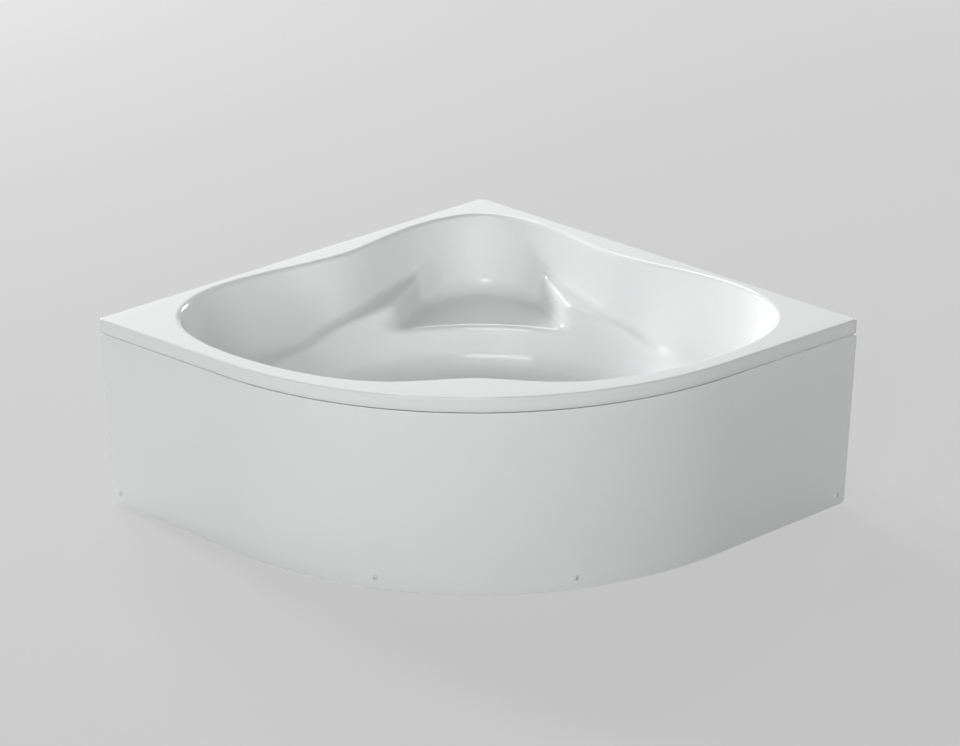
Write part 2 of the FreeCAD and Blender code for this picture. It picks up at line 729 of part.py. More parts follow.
def build_feet():
    """Threaded plugs in the legs, and a stud with its pad and lock nut under each."""
    plug = new_body("leg_plug")
    sketch = new_sketch(plug, "flange_section")
    add_polygon(sketch, rectangle("Sizes.tube_size", "Sizes.tube_size"))
    add_circle(sketch, "0", "0", "Sizes.stud_bore")
    pad(plug, sketch, "Sizes.plug_flange")
    sketch = new_sketch(plug, "plug_section")
    inner = "Sizes.tube_size - 2*Sizes.tube_wall - 0.1"
    add_polygon(sketch, rectangle(inner, inner))
    add_circle(sketch, "0", "0", "Sizes.stud_bore")
    pad(plug, sketch, "Sizes.plug_flange + Sizes.plug_depth")
    plug_level = value("Sizes.leg_bottom - Sizes.plug_flange")
    keep_group("leg_inserts", plug, group_spots(plug_level))

    nut = padded("lock_nut", hexagon("Sizes.nut_across"), "Sizes.nut_height",
                 [("0", "0", "Sizes.stud_bore")])
    keep_group("lock_nuts", nut, group_spots(plug_level - size("nut_height")))

    for spot, across, along in leg_spots():
        stud = new_body("foot_stud_" + spot)
        sketch = new_sketch(stud, "stud_section")
        add_circle(sketch, "0", "0", "Sizes.stud_radius")
        pad(stud, sketch, "Sizes.stud_start + Sizes.stud_length - Sizes.pad_height")
        sketch = new_sketch(stud, "hex_section")
        add_polygon(sketch, hexagon("Sizes.stud_hex"))
        pad(stud, sketch, "Sizes.nut_height")
        keep("foot_stud_" + spot, place(stud, across, along, "Sizes.pad_height"))

        base = turned("foot_pad_" + spot, [
            ("0", "0"), ("Sizes.pad_radius", "0"), ("Sizes.pad_radius", "Sizes.pad_height*0.4"),
            ("Sizes.stud_radius + 5", "Sizes.pad_height*0.75"),
            ("Sizes.stud_radius + 4", "Sizes.pad_height"), ("0", "Sizes.pad_height")])
        keep("foot_pad_" + spot, place(base, across, along, "0"))


def build_frame_fasteners():
    """Bolts up through the crossings, and wood screws up into the base board."""
    rail_bottom = value(LOWER_RAIL)
    bolt = new_body("frame_bolt")
    sketch = new_sketch(bolt, "head")
    add_polygon(sketch, hexagon("Sizes.bolt_head"))
    pad(bolt, sketch, "Sizes.bolt_head_height")
    sketch = new_sketch(bolt, "shank")
    add_circle(sketch, "0", "0", "Sizes.bolt_radius")
    pad(bolt, sketch, "Sizes.bolt_head_height + Sizes.tube_size*1.6")
    rail, rows = size("long_rail"), (size("front_rail"), size("rear_rail"))
    level = rail_bottom - size("bolt_head_height")
    spots = [(side * rail, along, level) for side in (-1, 1) for along in rows]
    keep_group("frame_bolts", bolt, spots + [(0, size("rear_rail"), level)])

    screw = turned("board_screw", [
        ("0", "0"), ("Sizes.wood_screw_head", "0"), ("Sizes.wood_screw_head", "2"),
        ("Sizes.wood_screw_radius", "3"), ("Sizes.wood_screw_radius", "2*Sizes.tube_size + 13"),
        ("0", "2*Sizes.tube_size + 14")])
    spots = [(side * rail, along, rail_bottom - 3) for side in (-1, 1) for along in BOARD_SCREWS]
    keep_group("board_screws", screw, spots)


# ---------------------------------------------------------------- apron and its fixings

def apron_section(sketch, inner_inset, outer_inset):
    """The curved strip between two insets from the rim's outline, ends cut square."""
    radius_out = "(Sizes.front_radius - %s)" % outer_inset
    radius_in = "(Sizes.front_radius - %s)" % inner_inset
    run = "(Sizes.run_length + Sizes.apron_overhang)"

    def corner(radius, along_run):
        across = "%s*sin(Sizes.run_angle) + %s*cos(Sizes.run_angle)" % (radius, along_run)
        along = "Sizes.front_centre - %s*cos(Sizes.run_angle) + %s*sin(Sizes.run_angle)" % (
            radius, along_run)
        return across, along

    right = [corner(radius_out, "0"), corner(radius_out, run),
             corner(radius_in, run), corner(radius_in, "0")]
    left = [("-(%s)" % across, along) for across, along in reversed(right)]
    chain = right + left
    points = [Vector(value(across), value(along), 0) for across, along in chain]
    centre = Vector(0, value("Sizes.front_centre"), 0)
    half_turn = math.radians(value("Sizes.run_angle"))
    for index in range(8):
        start, end = points[index], points[(index + 1) % 8]
        if index in (3, 7):
            circle = Part.Circle(centre, Vector(0, 0, 1), (start - centre).Length)
            low, high = -math.pi / 2 - half_turn, -math.pi / 2 + half_turn
            sketch.addGeometry(Part.ArcOfCircle(circle, low, high), False)
        else:
            sketch.addGeometry(Part.LineSegment(start, end), False)
    ends = [(index, 1, 2) for index in range(8)]
    ends[3] = (3, 2, 1)
    for index in range(8):
        following = ends[(index + 1) % 8]
        sketch.addConstraint(Sketcher.Constraint("Coincident", index, ends[index][2],
                                                 following[0], following[1]))
    for index, (across, along) in enumerate(chain):
        if index not in (3, 7):
            fix_point(sketch, index, 1, across, along)
    for index, (across, along) in ((3, chain[3]), (7, chain[7])):
        fix_point(sketch, index, ends[index][1], across, along)
    for index, radius in ((3, radius_in), (7, radius_out)):
        bound = sketch.addConstraint(Sketcher.Constraint("Radius", index, value(radius)))
        sketch.setExpression("Constraints[%d]" % bound, radius)


def front_point(across, inset):
    """A point of the front outline moved inwards, and the outline's bearing there."""
    if abs(across) < size("run_end"):
        radius = size("front_radius")
        bearing = math.asin(across / radius)
        along = size("front_centre") - (radius - inset) * math.cos(bearing)
        return Vector((radius - inset) * math.sin(bearing), along, 0), bearing
    bearing = math.copysign(math.radians(size("run_angle")), across)
    along = -(size("half_diagonal") - abs(across)) * math.tan(abs(bearing))
    inward = Vector(-math.sin(bearing), math.cos(bearing), 0)
    return Vector(across, along, 0) + inward * inset, bearing


def screw_spots():
    """The four apron screws: plan point on the apron's face, and bearing."""
    stations = (-size("apron_screw_end"), -size("apron_screw_front"),
                size("apron_screw_front"), size("apron_screw_end"))
    return [front_point(across, size("apron_recess")) for across in stations]


def outward(bearing):
    """Turns a piece's own Z axis to point out of the apron at this bearing."""
    return Rotation(Vector(0, 0, 1), math.degrees(bearing)).multiply(Rotation(Vector(1, 0, 0), 90))


def build_apron():
    """The curved panel, its corners rounded, with four screw holes."""
    body = new_body("apron_body")
    sketch = new_sketch(body, "panel_section")
    inner = "(Sizes.apron_recess + Sizes.apron_thickness)"
    apron_section(sketch, inner, "Sizes.apron_recess")
    height = "Sizes.lip_bottom - Sizes.apron_gap - Sizes.apron_bottom"
    pad(body, sketch, height)
    top = value(height)

    def at_end(edge):
        box = edge.BoundBox
        level = min(abs(box.ZMin), abs(box.ZMin - top)) < 1e-3 and box.ZLength < 1e-3
        return level and abs(edge.Length - size("apron_thickness")) < 1e-3

    round_edges(body, "Sizes.apron_corner", at_end)
    place(body, "0", "0", "Sizes.apron_bottom")
    drills = []
    for index, (point, bearing) in enumerate(screw_spots()):
        drill = document.addObject("Part::Cylinder", "apron_drill_%d" % index)
        drill.setExpression("Radius", "Sizes.apron_screw_hole")
        drill.setExpression("Height", "Sizes.apron_thickness + 10")
        base = point + outward(bearing).multVec(Vector(0, 0, -10))
        place(drill, "%.4f" % base.x, "%.4f" % base.y, "Sizes.apron_screw_level",
              outward(bearing))
        drills.append(drill)
    keep("apron_panel", cut("apron_panel", body, drills))


def build_apron_fixings():
    """Screws, dished washers and domed caps, as groups of four."""
    screw = turned("apron_screw", [
        ("0", "-18"), ("Sizes.apron_screw_radius", "-16"), ("Sizes.apron_screw_radius", "1"),
        ("4", "1"), ("4", "2.2"), ("0", "3.2")])
    washer = turned("cap_base", [
        ("Sizes.apron_screw_radius + 0.2", "0"), ("Sizes.cap_radius - 0.6", "0"),
        ("Sizes.cap_radius - 0.8", "2.4"), ("Sizes.cap_radius - 1.6", "2.4"),
        ("Sizes.cap_radius - 2", "1"), ("Sizes.apron_screw_radius + 0.2", "1")])
    cap = turned("screw_cap", [
        ("Sizes.cap_radius - 0.55", "0"), ("Sizes.cap_radius", "0"), ("Sizes.cap_radius", "1.4"),
        ("Sizes.cap_radius*0.92", "2.9"), ("Sizes.cap_radius*0.7", "4.1"),
        ("Sizes.cap_radius*0.4", "4.8"), ("0", "5"), ("0", "3.6"),
        ("Sizes.cap_radius*0.62", "3.2"), ("Sizes.cap_radius - 0.75", "2.5")])
    spots = [(point.x, point.y, size("apron_screw_level"), outward(bearing))
             for point, bearing in screw_spots()]
    keep_group("apron_screws", screw, spots)
    keep_group("cap_bases", washer, spots)
    keep_group("screw_caps", cap, spots)


def bracket(name, leg_across, web_top, station, reach_in, reach_out):
    """A bent plate: one leg flat behind the apron, the other on the leg's outer side."""
    plate = size("bracket_plate")
    inset = size("apron_recess") + size("apron_thickness")
    if station < size("run_end"):
        chord = reach_out / math.cos(math.asin(station / size("front_radius")))
        inset += chord ** 2 / (2 * size("front_radius")) + 0.3
    point, bearing = front_point(station, inset)
    slope, lift = math.tan(bearing), plate / math.cos(bearing)
    leg_side = leg_across + size("tube_size") / 2

    def behind(across):
        return point.y + (across - point.x) * slope

    near, far = station - reach_in, station + reach_out
    corners = [(near, behind(near)), (far, behind(far)), (far, behind(far) + lift),
               (leg_side + plate, behind(leg_side + plate) + lift),
               (leg_side + plate, web_top), (leg_side, web_top),
               (leg_side, behind(leg_side) + lift), (near, behind(near) + lift)]
    body = padded(name, [("%.4f" % across, "%.4f" % along) for across, along in corners],
                  "Sizes.bracket_top - Sizes.bracket_bottom")
    place(body, "0", "0", "Sizes.bracket_bottom")
    document.recompute()
    drill = document.addObject("Part::Cylinder", name + "_drill")
    drill.setExpression("Radius", "Sizes.apron_screw_radius")
    drill.setExpression("Height", "Sizes.bracket_plate + 8")
    base = point + outward(bearing).multVec(Vector(0, 0, -8))
    place(drill, "%.4f" % base.x, "%.4f" % base.y, "Sizes.apron_screw_level", outward(bearing))
    return cut(name + "_drilled", body, [drill])


def build_brackets():
    """The apron's lower brackets in mirrored pairs, and the clips behind the lip."""
    pairs = (("front", size("long_rail"), size("front_leg") + 12,
              size("apron_screw_front"), 12, 52),
             ("end", size("end_leg_across"), size("front_rail") + 12,
              size("apron_screw_end"), 106, 14))
    for spot, across, web_top, station, reach_in, reach_out in pairs:
        right = bracket("bracket_" + spot, across, web_top, station, reach_in, reach_out)
        left = document.addObject("Part::Mirroring", "bracket_" + spot + "_left")
        left.Source = right
        left.Normal = Vector(1, 0, 0)
        pair = document.addObject("Part::Compound", "apron_brackets_" + spot)
        pair.Links = [right, left]
        keep("apron_brackets_" + spot, pair)

    clip = padded("apron_clip", [
        ("0", "0"), ("2", "0"), ("2", "66"), ("24", "66"), ("24", "68"), ("0", "68")],
        "30", role="XZ_Plane")
    spots = []
    for across in (-800, -420, 420, 800):
        point, bearing = front_point(across, size("skin") + 0.15)
        turn = Rotation(Vector(0, 0, 1), math.degrees(bearing) + 90)
        spot = point + turn.multVec(Vector(0, 15, 0))
        spots.append((spot.x, spot.y, size("deck_underside") - 68, turn))
    keep_group("apron_clips", clip, spots)


def build_wall_brackets():
    """Steel angles under the lip, two to each wall, with holes for the wall's screws."""
    angle = new_body("wall_angle")
    sketch = new_sketch(angle, "angle_section", "YZ_Plane")
    add_polygon(sketch, [("0", "-48"), ("0", "0"), ("-25", "0"), ("-25", "-3"),
                         ("-3", "-3"), ("-3", "-48")])
    pad(angle, sketch, "70")
    document.recompute()
    drills = [Part.makeCylinder(3, 10, Vector(along, 2, -28), Vector(0, -1, 0))
              for along in (15, 55)]
    shape = angle.Shape.cut(Part.makeCompound(drills))
    shape = shape.cut(Part.makeCylinder(2.2, 10, Vector(35, -13, 2), Vector(0, 0, -1)))
    corner = Vector(0, size("half_diagonal"), size("lip_bottom"))
    for side, turn, sign in (("left", LEFT_WALL, -1), ("right", RIGHT_WALL, 1)):
        angles = []
        for station in (260, 1150):
            start = station if sign > 0 else -station - 70
            spot = corner + turn.multVec(Vector(start, 0, 0))
            angles.append(placed_copy(shape, spot.x, spot.y, spot.z, turn))
        feature = document.addObject("Part::Feature", "wall_brackets_" + side)
        feature.Shape = Part.makeCompound(angles)
        keep("wall_brackets_" + side, feature)


# ---------------------------------------------------------------- waste and trap

def at_waste(name, body, level="0"):
    return keep(name, place(body, "0", "Sizes.waste_across", level))


def build_waste():
    """Flange, seal, body, pop-up plug, trap and outlet, on the axis of the floor's hole."""
    floor, under = "Sizes.floor_level", "(Sizes.floor_level - Sizes.skin)"
    ring = turned("flange_ring", [
        ("Sizes.throat", "-38"), ("Sizes.throat + 3", "-38"), ("Sizes.throat + 3", "0"),
        ("Sizes.flange_radius", "0"), ("Sizes.flange_radius - 1", "2"),
        ("Sizes.throat + 5", "3"), ("Sizes.throat + 1.5", "3"), ("Sizes.throat", "1.5")])
    place(ring, "0", "Sizes.waste_across", floor)
    hub = cylinder("hub", "Sizes.stem_radius + 3", "7", "0", "Sizes.waste_across", floor + " - 30")
    spokes = []
    for index, turn in enumerate((0, 90)):
        spoke = document.addObject("Part::Box", "spoke_%d" % index)
        spoke.setExpression("Length", "2*Sizes.throat + 2")
        spoke.Width = 3
        spoke.Height = 5
        rotation = Rotation(Vector(0, 0, 1), turn)
        offset = rotation.multVec(Vector(value("-Sizes.throat - 1"), -1.5, 0))
        place(spoke, "%.3f" % offset.x, "Sizes.waste_across + %.3f" % offset.y,
              floor + " - 30", rotation)
        spokes.append(spoke)
    bore = cylinder("hub_bore", "Sizes.stem_bore", "12", "0", "Sizes.waste_across", floor + " - 32")
    keep("waste_flange", cut("waste_flange", joined("flange_parts", [ring, hub] + spokes), [bore]))

    at_waste("waste_seal", turned("waste_seal", [
        ("Sizes.throat + 4", "-3"), ("Sizes.flange_radius", "-3"), ("Sizes.flange_radius", "0"),
        ("Sizes.throat + 4", "0")]), under)

    top = under + " - 3"
    outer = turned("body_turned", [
        ("0", "-96"), ("24", "-96"), ("24", "-80"), ("Sizes.body_radius", "-78"),
        ("Sizes.body_radius", "-8"), ("Sizes.flange_radius", "-5"), ("Sizes.flange_radius", "0"),
        ("0", "0")])
    place(outer, "0", "Sizes.waste_across", top)
    toward_front = Rotation(Vector(1, 0, 0), 90)
    branch = cylinder("branch", "Sizes.pipe_radius + 4", "68", "0", "Sizes.waste_across",
                      "Sizes.branch_level", toward_front)
    boss = cylinder("cable_boss", "Sizes.cable_radius + 3", "40", "Sizes.cable_offset - 2",
                    "Sizes.waste_across", "Sizes.cable_level", toward_front)
    inner = cylinder("body_bore", "Sizes.throat + 3.1", "29", "0", "Sizes.waste_across",
                     top + " - 28.5")
    inner_low = cylinder("body_bore_low", "Sizes.throat", "100", "0", "Sizes.waste_across",
                         top + " - 97")
    socket = cylinder("branch_socket", "Sizes.pipe_radius + 0.05", "30", "0",
                      "Sizes.waste_across - 39", "Sizes.branch_level", toward_front)
    passage = cylinder("branch_passage", "Sizes.pipe_radius - Sizes.pipe_wall", "70", "0",
                       "Sizes.waste_across", "Sizes.branch_level", toward_front)
    solid = joined("body_parts", [outer, branch, boss])
    keep("waste_body", cut("waste_body", solid, [inner, inner_low, socket, passage]))

    at_waste("plug_cap", turned("plug_cap", [
        ("0", "5"), ("Sizes.throat + 4", "5"), ("Sizes.throat + 6", "6.5"),
        ("Sizes.throat + 5", "8.5"), ("Sizes.throat - 2", "10.3"), ("Sizes.throat*0.5", "11"),
        ("0", "11.2")]), floor)
    at_waste("plug_seal", turned("plug_seal", [
        ("Sizes.throat + 2", "3.05"), ("Sizes.throat + 4", "3.05"), ("Sizes.throat + 4", "5"),
        ("Sizes.throat + 1", "5")]), floor)
    at_waste("plug_stem", turned("plug_stem", [
        ("0", "-48"), ("Sizes.stem_radius", "-46"), ("Sizes.stem_radius", "0"),
        ("Sizes.stem_radius + 4", "2"), ("Sizes.stem_radius + 4", "5"), ("0", "5")]), floor)

    bowl = turned("bowl", [
        ("0", "-26"), ("Sizes.trap_radius - 8", "-26"), ("Sizes.trap_radius", "-18"),
        ("Sizes.trap_radius", "14"), ("Sizes.trap_radius - 6", "20"), ("24", "22"),
        ("24", "34"), ("0", "34")])
    place(bowl, "0", "Sizes.waste_across", "Sizes.outlet_level")
    toward_wall = Rotation(Vector(1, 1, 0), -90)
    arm = cylinder("trap_arm", "Sizes.outlet_radius + 2", "Sizes.arm_length", "0",
                   "Sizes.waste_across", "Sizes.outlet_level", toward_wall)
    keep("trap_body", joined("trap_body", [bowl, arm]))
    nut = padded("trap_nut", hexagon("66"), "24", [("0", "0", "24.1")])
    at_waste("trap_nut", nut, "Sizes.outlet_level + 22")

    start = toward_wall.multVec(Vector(0, 0, size("arm_length")))
    pipe = turned("outlet_pipe", [
        ("Sizes.outlet_radius - 3", "0"), ("Sizes.outlet_radius - 1", "0"),
        ("Sizes.outlet_radius - 1", "24"), ("Sizes.outlet_radius", "24"),
        ("Sizes.outlet_radius", "Sizes.outlet_reach - Sizes.arm_length"),
        ("Sizes.outlet_radius - 3", "Sizes.outlet_reach - Sizes.arm_length")])
    nut = padded("outlet_nut", hexagon("50"), "24", [("0", "0", "Sizes.outlet_radius - 0.95")])
    for name, body in (("outlet_pipe", pipe), ("outlet_nut", nut)):
        place(body, "%.4f" % start.x, "Sizes.waste_across + %.4f" % start.y,
              "Sizes.outlet_level", toward_wall)
        keep(name, body)


# ---------------------------------------------------------------- overflow

def build_overflow():
    """Plate and knob in the basin, cup and seal behind its wall, pipe and cable below."""
    along, tilt = front_wall()
    facing = Rotation(Vector(1, 0, 0), math.degrees(tilt) - 90)
    centre = "%.4f" % along

    def on_wall(name, body):
        return keep(name, place(body, "0", centre, "Sizes.overflow_level", facing))

    on_wall("overflow_plate", turned("overflow_plate", [
        ("Sizes.overflow_stem_bore", "0.4"), ("Sizes.overflow_radius + 2", "0.4"),
        ("Sizes.overflow_radius + 2", "2"), ("Sizes.overflow_radius - 3", "6"),
        ("Sizes.overflow_stem_bore", "6")]))
    knob = new_body("overflow_knob")
    sketch = new_sketch(knob, "knob_profile", "XZ_Plane")
    add_polygon(sketch, [
        ("0", "-22"), ("Sizes.overflow_stem", "-22"), ("Sizes.overflow_stem", "6.5"),
        ("Sizes.knob_radius", "6.5"), ("Sizes.knob_radius", "10"),
        ("Sizes.knob_radius - 4", "15"), ("Sizes.knob_radius - 14", "17"), ("0", "17.5")])
    feature = knob.newObject("PartDesign::Revolution", "turn")
    feature.Profile = sketch
    feature.ReferenceAxis = (sketch, ["V_Axis"])
    sketch = new_sketch(knob, "grip_section")
    sketch.AttachmentOffset = Placement(Vector(0, 0, 10), Rotation())
    add_polygon(sketch, rectangle("2*Sizes.knob_radius - 10", "9"))
    pad(knob, sketch, "14")
    round_edges(knob, "3", lambda edge: upright(edge) and edge.BoundBox.ZMax > 23)
    on_wall("overflow_knob", knob)
    seal = turned("seal_ring", [
        ("Sizes.overflow_hole + 0.5", "-Sizes.skin - 4.8"),
        ("Sizes.overflow_radius", "-Sizes.skin - 4.8"),
        ("Sizes.overflow_radius", "-Sizes.skin + 1"),
        ("Sizes.overflow_hole + 0.5", "-Sizes.skin + 1")])
    place(seal, "0", centre, "Sizes.overflow_level", facing)
    keep("overflow_seal", cut("overflow_seal", seal, [nodes["tub_shell"]]))

    cup = turned("cup", [
        ("0", "-44"), ("Sizes.overflow_radius - 8", "-44"), ("Sizes.overflow_radius - 2", "-38"),
        ("Sizes.overflow_radius", "-Sizes.skin - 4.8"), ("0", "-Sizes.skin - 4.8")])
    place(cup, "0", centre, "Sizes.overflow_level", facing)
    hollow = turned("cup_hollow", [
        ("0", "-34"), ("Sizes.overflow_radius - 10", "-34"), ("Sizes.overflow_radius - 7", "0"),
        ("0", "0")])
    place(hollow, "0", centre, "Sizes.overflow_level", facing)
    drop = Rotation(Vector(1, 0, 0), 180)
    spout_along = "%.4f" % (along - 27)
    spout = cylinder("spout", "Sizes.pipe_radius", "52", "0", spout_along,
                     "Sizes.overflow_level", drop)
    boss = cylinder("cable_socket", "Sizes.cable_radius + 3", "40", "Sizes.cable_offset - 2",
                    spout_along, "Sizes.overflow_level", drop)
    channel = cylinder("spout_bore", "Sizes.pipe_radius - Sizes.pipe_wall", "60", "0",
                       spout_along, "Sizes.overflow_level", drop)
    keep("overflow_body", cut("overflow_body", joined("cup_parts", [cup, spout, boss]),
                              [hollow, channel]))

    top = size("overflow_level") - 52
    bend, level = size("pipe_bend"), size("branch_level")
    far_end = size("waste_across") - 39
    start = along - 27
    keep("overflow_pipe", bent_tube("overflow_pipe", 0, start, top, far_end, level, bend,
                                    size("pipe_radius"), size("pipe_wall")))
    offset = size("cable_offset") - 2
    keep("pop_up_cable", bent_tube("pop_up_cable", offset, start, size("overflow_level") - 40,
                                   size("waste_across") - 40, size("cable_level"), bend + 20,
                                   size("cable_radius"), 0))
    nut = padded("pipe_nut", hexagon("2*Sizes.pipe_radius + 12"), "19",
                 [("0", "0", "Sizes.pipe_radius + 0.05")])
    flats = Rotation(Vector(0, 0, 1), 30)
    spots = [(0, start, top - 10, flats),
             (0, size("waste_across") - 87, level, ALONG_Y.multiply(flats))]
    keep_group("pipe_nuts", nut, spots)


def bent_tube(name, across, along, top, far_end, level, bend, radius, wall):
    """A round tube straight down, round one bend, and level towards the corner."""
    shift = size("plan_middle")
    high = Vector(across, along - shift, top)
    bend_start = Vector(across, along - shift, level + bend)
    bend_end = Vector(across, along - shift + bend, level)
    middle = Vector(across, along - shift + bend * (1 - math.cos(math.pi / 4)),
                    level + bend * (1 - math.sin(math.pi / 4)))
    end = Vector(across, far_end - shift, level)
    spine = Part.Wire([Part.LineSegment(high, bend_start).toShape(),
                       Part.Arc(bend_start, middle, bend_end).toShape(),
                       Part.LineSegment(bend_end, end).toShape()])

    def swept(section_radius):
        circle = Part.makeCircle(section_radius, high, Vector(0, 0, -1))
        return spine.makePipeShell([Part.Wire([circle])], True, False)

    solid = swept(radius)
    if wall > 0:
        solid = solid.cut(swept(radius - wall))
    print("%s: %.1f mm long, bend radius %.0f mm" % (name, spine.Length, bend))
    feature = document.addObject("Part::Feature", name)
    feature.Shape = solid
    return feature


# ---------------------------------------------------------------- checking and writing

def check_document():
    """Stop if any object failed, or any sub-part has no valid shape."""
    document.recompute()
    for item in document.Objects:
        if "Invalid" in item.State or "Error" in item.State:
            raise RuntimeError("%s failed: %s" % (item.Label, item.State))
    for name, item in nodes.items():
        shape = item.Shape
        if shape.isNull() or not shape.isValid() or not shape.Solids:
            raise RuntimeError("%s has no valid solid" % name)


def write_parts():
    os.makedirs("parts", exist_ok=True)
    for name, item in nodes.items():
        item.Shape.exportStep("parts/%s.step" % name)


def main():
    fill_sheet()
    build_shell()
    build_boards()
    build_rails()
    build_legs()
    build_feet()
    build_frame_fasteners()
    build_apron()
    build_apron_fixings()
    build_brackets()
    build_wall_brackets()
    build_waste()
    build_overflow()
    check_document()
    write_parts()
    print("%d sub-parts written" % len(nodes))


main()
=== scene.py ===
"""A white corner bathtub: moulded shell, curved panel, steel frame, pop-up waste, and a stage.

All lengths are metres in the CAD's frame: X to the right, Y from the curved front towards the
corner of the walls, Z up from the floor.
"""
import math

import bpy
import numpy as np
from bpy.props import FloatProperty, FloatVectorProperty, IntProperty, PointerProperty
from mathutils import Matrix, Vector


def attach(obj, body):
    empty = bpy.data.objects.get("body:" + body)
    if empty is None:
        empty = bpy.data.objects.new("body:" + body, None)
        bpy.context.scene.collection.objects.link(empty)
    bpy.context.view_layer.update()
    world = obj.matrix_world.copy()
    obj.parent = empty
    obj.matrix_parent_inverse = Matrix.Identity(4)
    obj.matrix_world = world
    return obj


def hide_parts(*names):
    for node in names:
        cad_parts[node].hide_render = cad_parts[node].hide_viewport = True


bl_info = {
    "name": "Corner bathtub",
    "version": (1, 0, 0),
    "blender": (4, 5, 0),
    "location": "View3D > Sidebar > Bathtub",
    "description": "Builds a corner bathtub with its panel, frame, waste and stage",
    "category": "Object",
}

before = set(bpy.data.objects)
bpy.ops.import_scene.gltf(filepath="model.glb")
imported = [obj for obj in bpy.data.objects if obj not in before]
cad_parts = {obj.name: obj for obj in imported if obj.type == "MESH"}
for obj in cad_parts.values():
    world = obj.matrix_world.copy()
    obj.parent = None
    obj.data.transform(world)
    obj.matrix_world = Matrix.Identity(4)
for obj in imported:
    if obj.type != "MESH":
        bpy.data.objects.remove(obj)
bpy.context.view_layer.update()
MM = 0.001

WALL = 1.5
HALF_DIAGONAL = WALL / math.sqrt(2)
RUN_ANGLE = math.radians(38)
RUN_LENGTH = 0.5
RUN_END = HALF_DIAGONAL - RUN_LENGTH * math.cos(RUN_ANGLE)
FRONT_RADIUS = RUN_END / math.sin(RUN_ANGLE)
FRONT_CENTRE = FRONT_RADIUS * math.cos(RUN_ANGLE) - RUN_LENGTH * math.sin(RUN_ANGLE)
BACK_ROUND, END_ROUND, RIM_ROUND = 32 * MM, 6 * MM, 5 * MM
# The CAD's mesh cuts the front arc's crown by this much, and nothing reaches past it.
FACET_SAG = 0.3 * MM
BACK_TIP = HALF_DIAGONAL - BACK_ROUND * (math.sqrt(2) - 1)
PLAN_MIDDLE = (BACK_TIP + FRONT_CENTRE - FRONT_RADIUS) / 2

RIM, LIP_MIDDLE, LIP_BOTTOM, SKIN = 0.580, 0.557, 0.538, 7 * MM
LIP_EDGE, DECK_START = 1.2 * MM, 6 * MM
FLOOR, SEAT = 0.180, 0.329
EDGE_ROLL, FLOOR_FILLET, SEAT_FILLET, SEAT_EDGE = 12 * MM, 70 * MM, 45 * MM, 9 * MM
BACK_LEAN, SIDE_LEAN, FRONT_LEAN, SEAT_LEAN = 0.10, 0.42, 0.14, 0.25
# Bearings from the waste, in degrees, between which one lean gives way to the next.
BACK_TO_SIDE, SIDE_TO_FRONT = (48, 72), (100, 135)
SEAT_FRONT, SEAT_RADIUS = 0.566, 0.700
ARMREST_FOOT, ARMREST_LEAN, ARMREST_CORNER, ARMREST_CREASE = 30 * MM, 0.08, 32 * MM, 20 * MM
# The bearings between which the narrow crease behind an armrest starts and ends.
CREASE_START, CREASE_END = (12, 17), (62, 72)
WASTE = 0.060
WASTE_HOLE = 26 * MM
OVERFLOW_LEVEL = 0.495

# Corners of the control polygon of the basin's edge.
EDGE_POLES = np.array([(0, 970), (262, 747), (390, 511), (611, 389), (823, 213),
                       (867, -34), (668, -253), (412, -402), (198, -442), (0, -385)]) * MM
# The armrest's inner edge in plan runs straight from the wall to the front arc, and its top
# falls from the wall to its tip, by bearing from the waste in degrees.
ARMREST_START, ARMREST_SPREAD = (178 * MM, 800 * MM), 0.345
ARMREST_BEARINGS = (13.5, 33, 50, 61)
ARMREST_TOPS = np.array((432, 401, 373, 342)) * MM


# ---------------------------------------------------------------- settings

class ShellSettings(bpy.types.PropertyGroup):
    """Sizes of the moulded shell that a user would change."""
    columns: IntProperty(name="Columns", description="Columns of faces around the basin",
                         default=400, min=48, max=400)
    rings: IntProperty(name="Rings", description="Rings of faces from the deck to the waste",
                       default=172, min=24, max=172)
    seat_height: FloatProperty(name="Seat height", description="Height of the seat's flat top",
                               default=SEAT, unit="LENGTH")
    armrest_lift: FloatProperty(name="Armrest lift", description="Scale of the armrests' height",
                                default=1.0, min=0.1, max=1.5)


class FinishSettings(bpy.types.PropertyGroup):
    """Colours of the main finishes."""
    acrylic: FloatVectorProperty(name="Acrylic", description="Colour of the shell and panel",
                                 subtype="COLOR", default=(0.84, 0.862, 0.862), min=0, max=1)
    laminate: FloatVectorProperty(name="Laminate", description="Colour of the backing laminate",
                                  subtype="COLOR", default=(0.62, 0.61, 0.53), min=0, max=1)
    frame_paint: FloatVectorProperty(name="Frame", description="Colour of the painted frame",
                                     subtype="COLOR", default=(0.34, 0.36, 0.38), min=0, max=1)
    pipe: FloatVectorProperty(name="Pipes", description="Colour of the waste's plastic",
                              subtype="COLOR", default=(0.72, 0.72, 0.69), min=0, max=1)


class StageSettings(bpy.types.PropertyGroup):
    """Light, background and camera."""
    light: FloatProperty(name="Light", description="Scale of every lamp's power",
                         default=1.0, min=0)
    sky: FloatProperty(name="Sky", description="Strength of the even light all round",
                       default=0.04, min=0)
    lens: FloatProperty(name="Lens", description="Focal length on a 36 mm wide sensor",
                        default=73.156, unit="CAMERA")


class BathSettings(bpy.types.PropertyGroup):
    """Everything that the bathtub's operators read."""
    shell: PointerProperty(type=ShellSettings)
    finish: PointerProperty(type=FinishSettings)
    stage: PointerProperty(type=StageSettings)


# ---------------------------------------------------------------- meshes

def grid_faces(rows, columns, wrap_rows=False, wrap_columns=False):
    """Corner numbers of the quads of a grid of points, row after row."""
    row = np.arange(rows if wrap_rows else rows - 1)[:, None]
    column = np.arange(columns if wrap_columns else columns - 1)[None, :]
    below, beside = (row + 1) % rows, (column + 1) % columns
    corners = (row * columns + column, row * columns + beside,
               below * columns + beside, below * columns + column)
    return np.stack([corner + 0 * row for corner in corners], axis=-1).reshape(-1, 4)


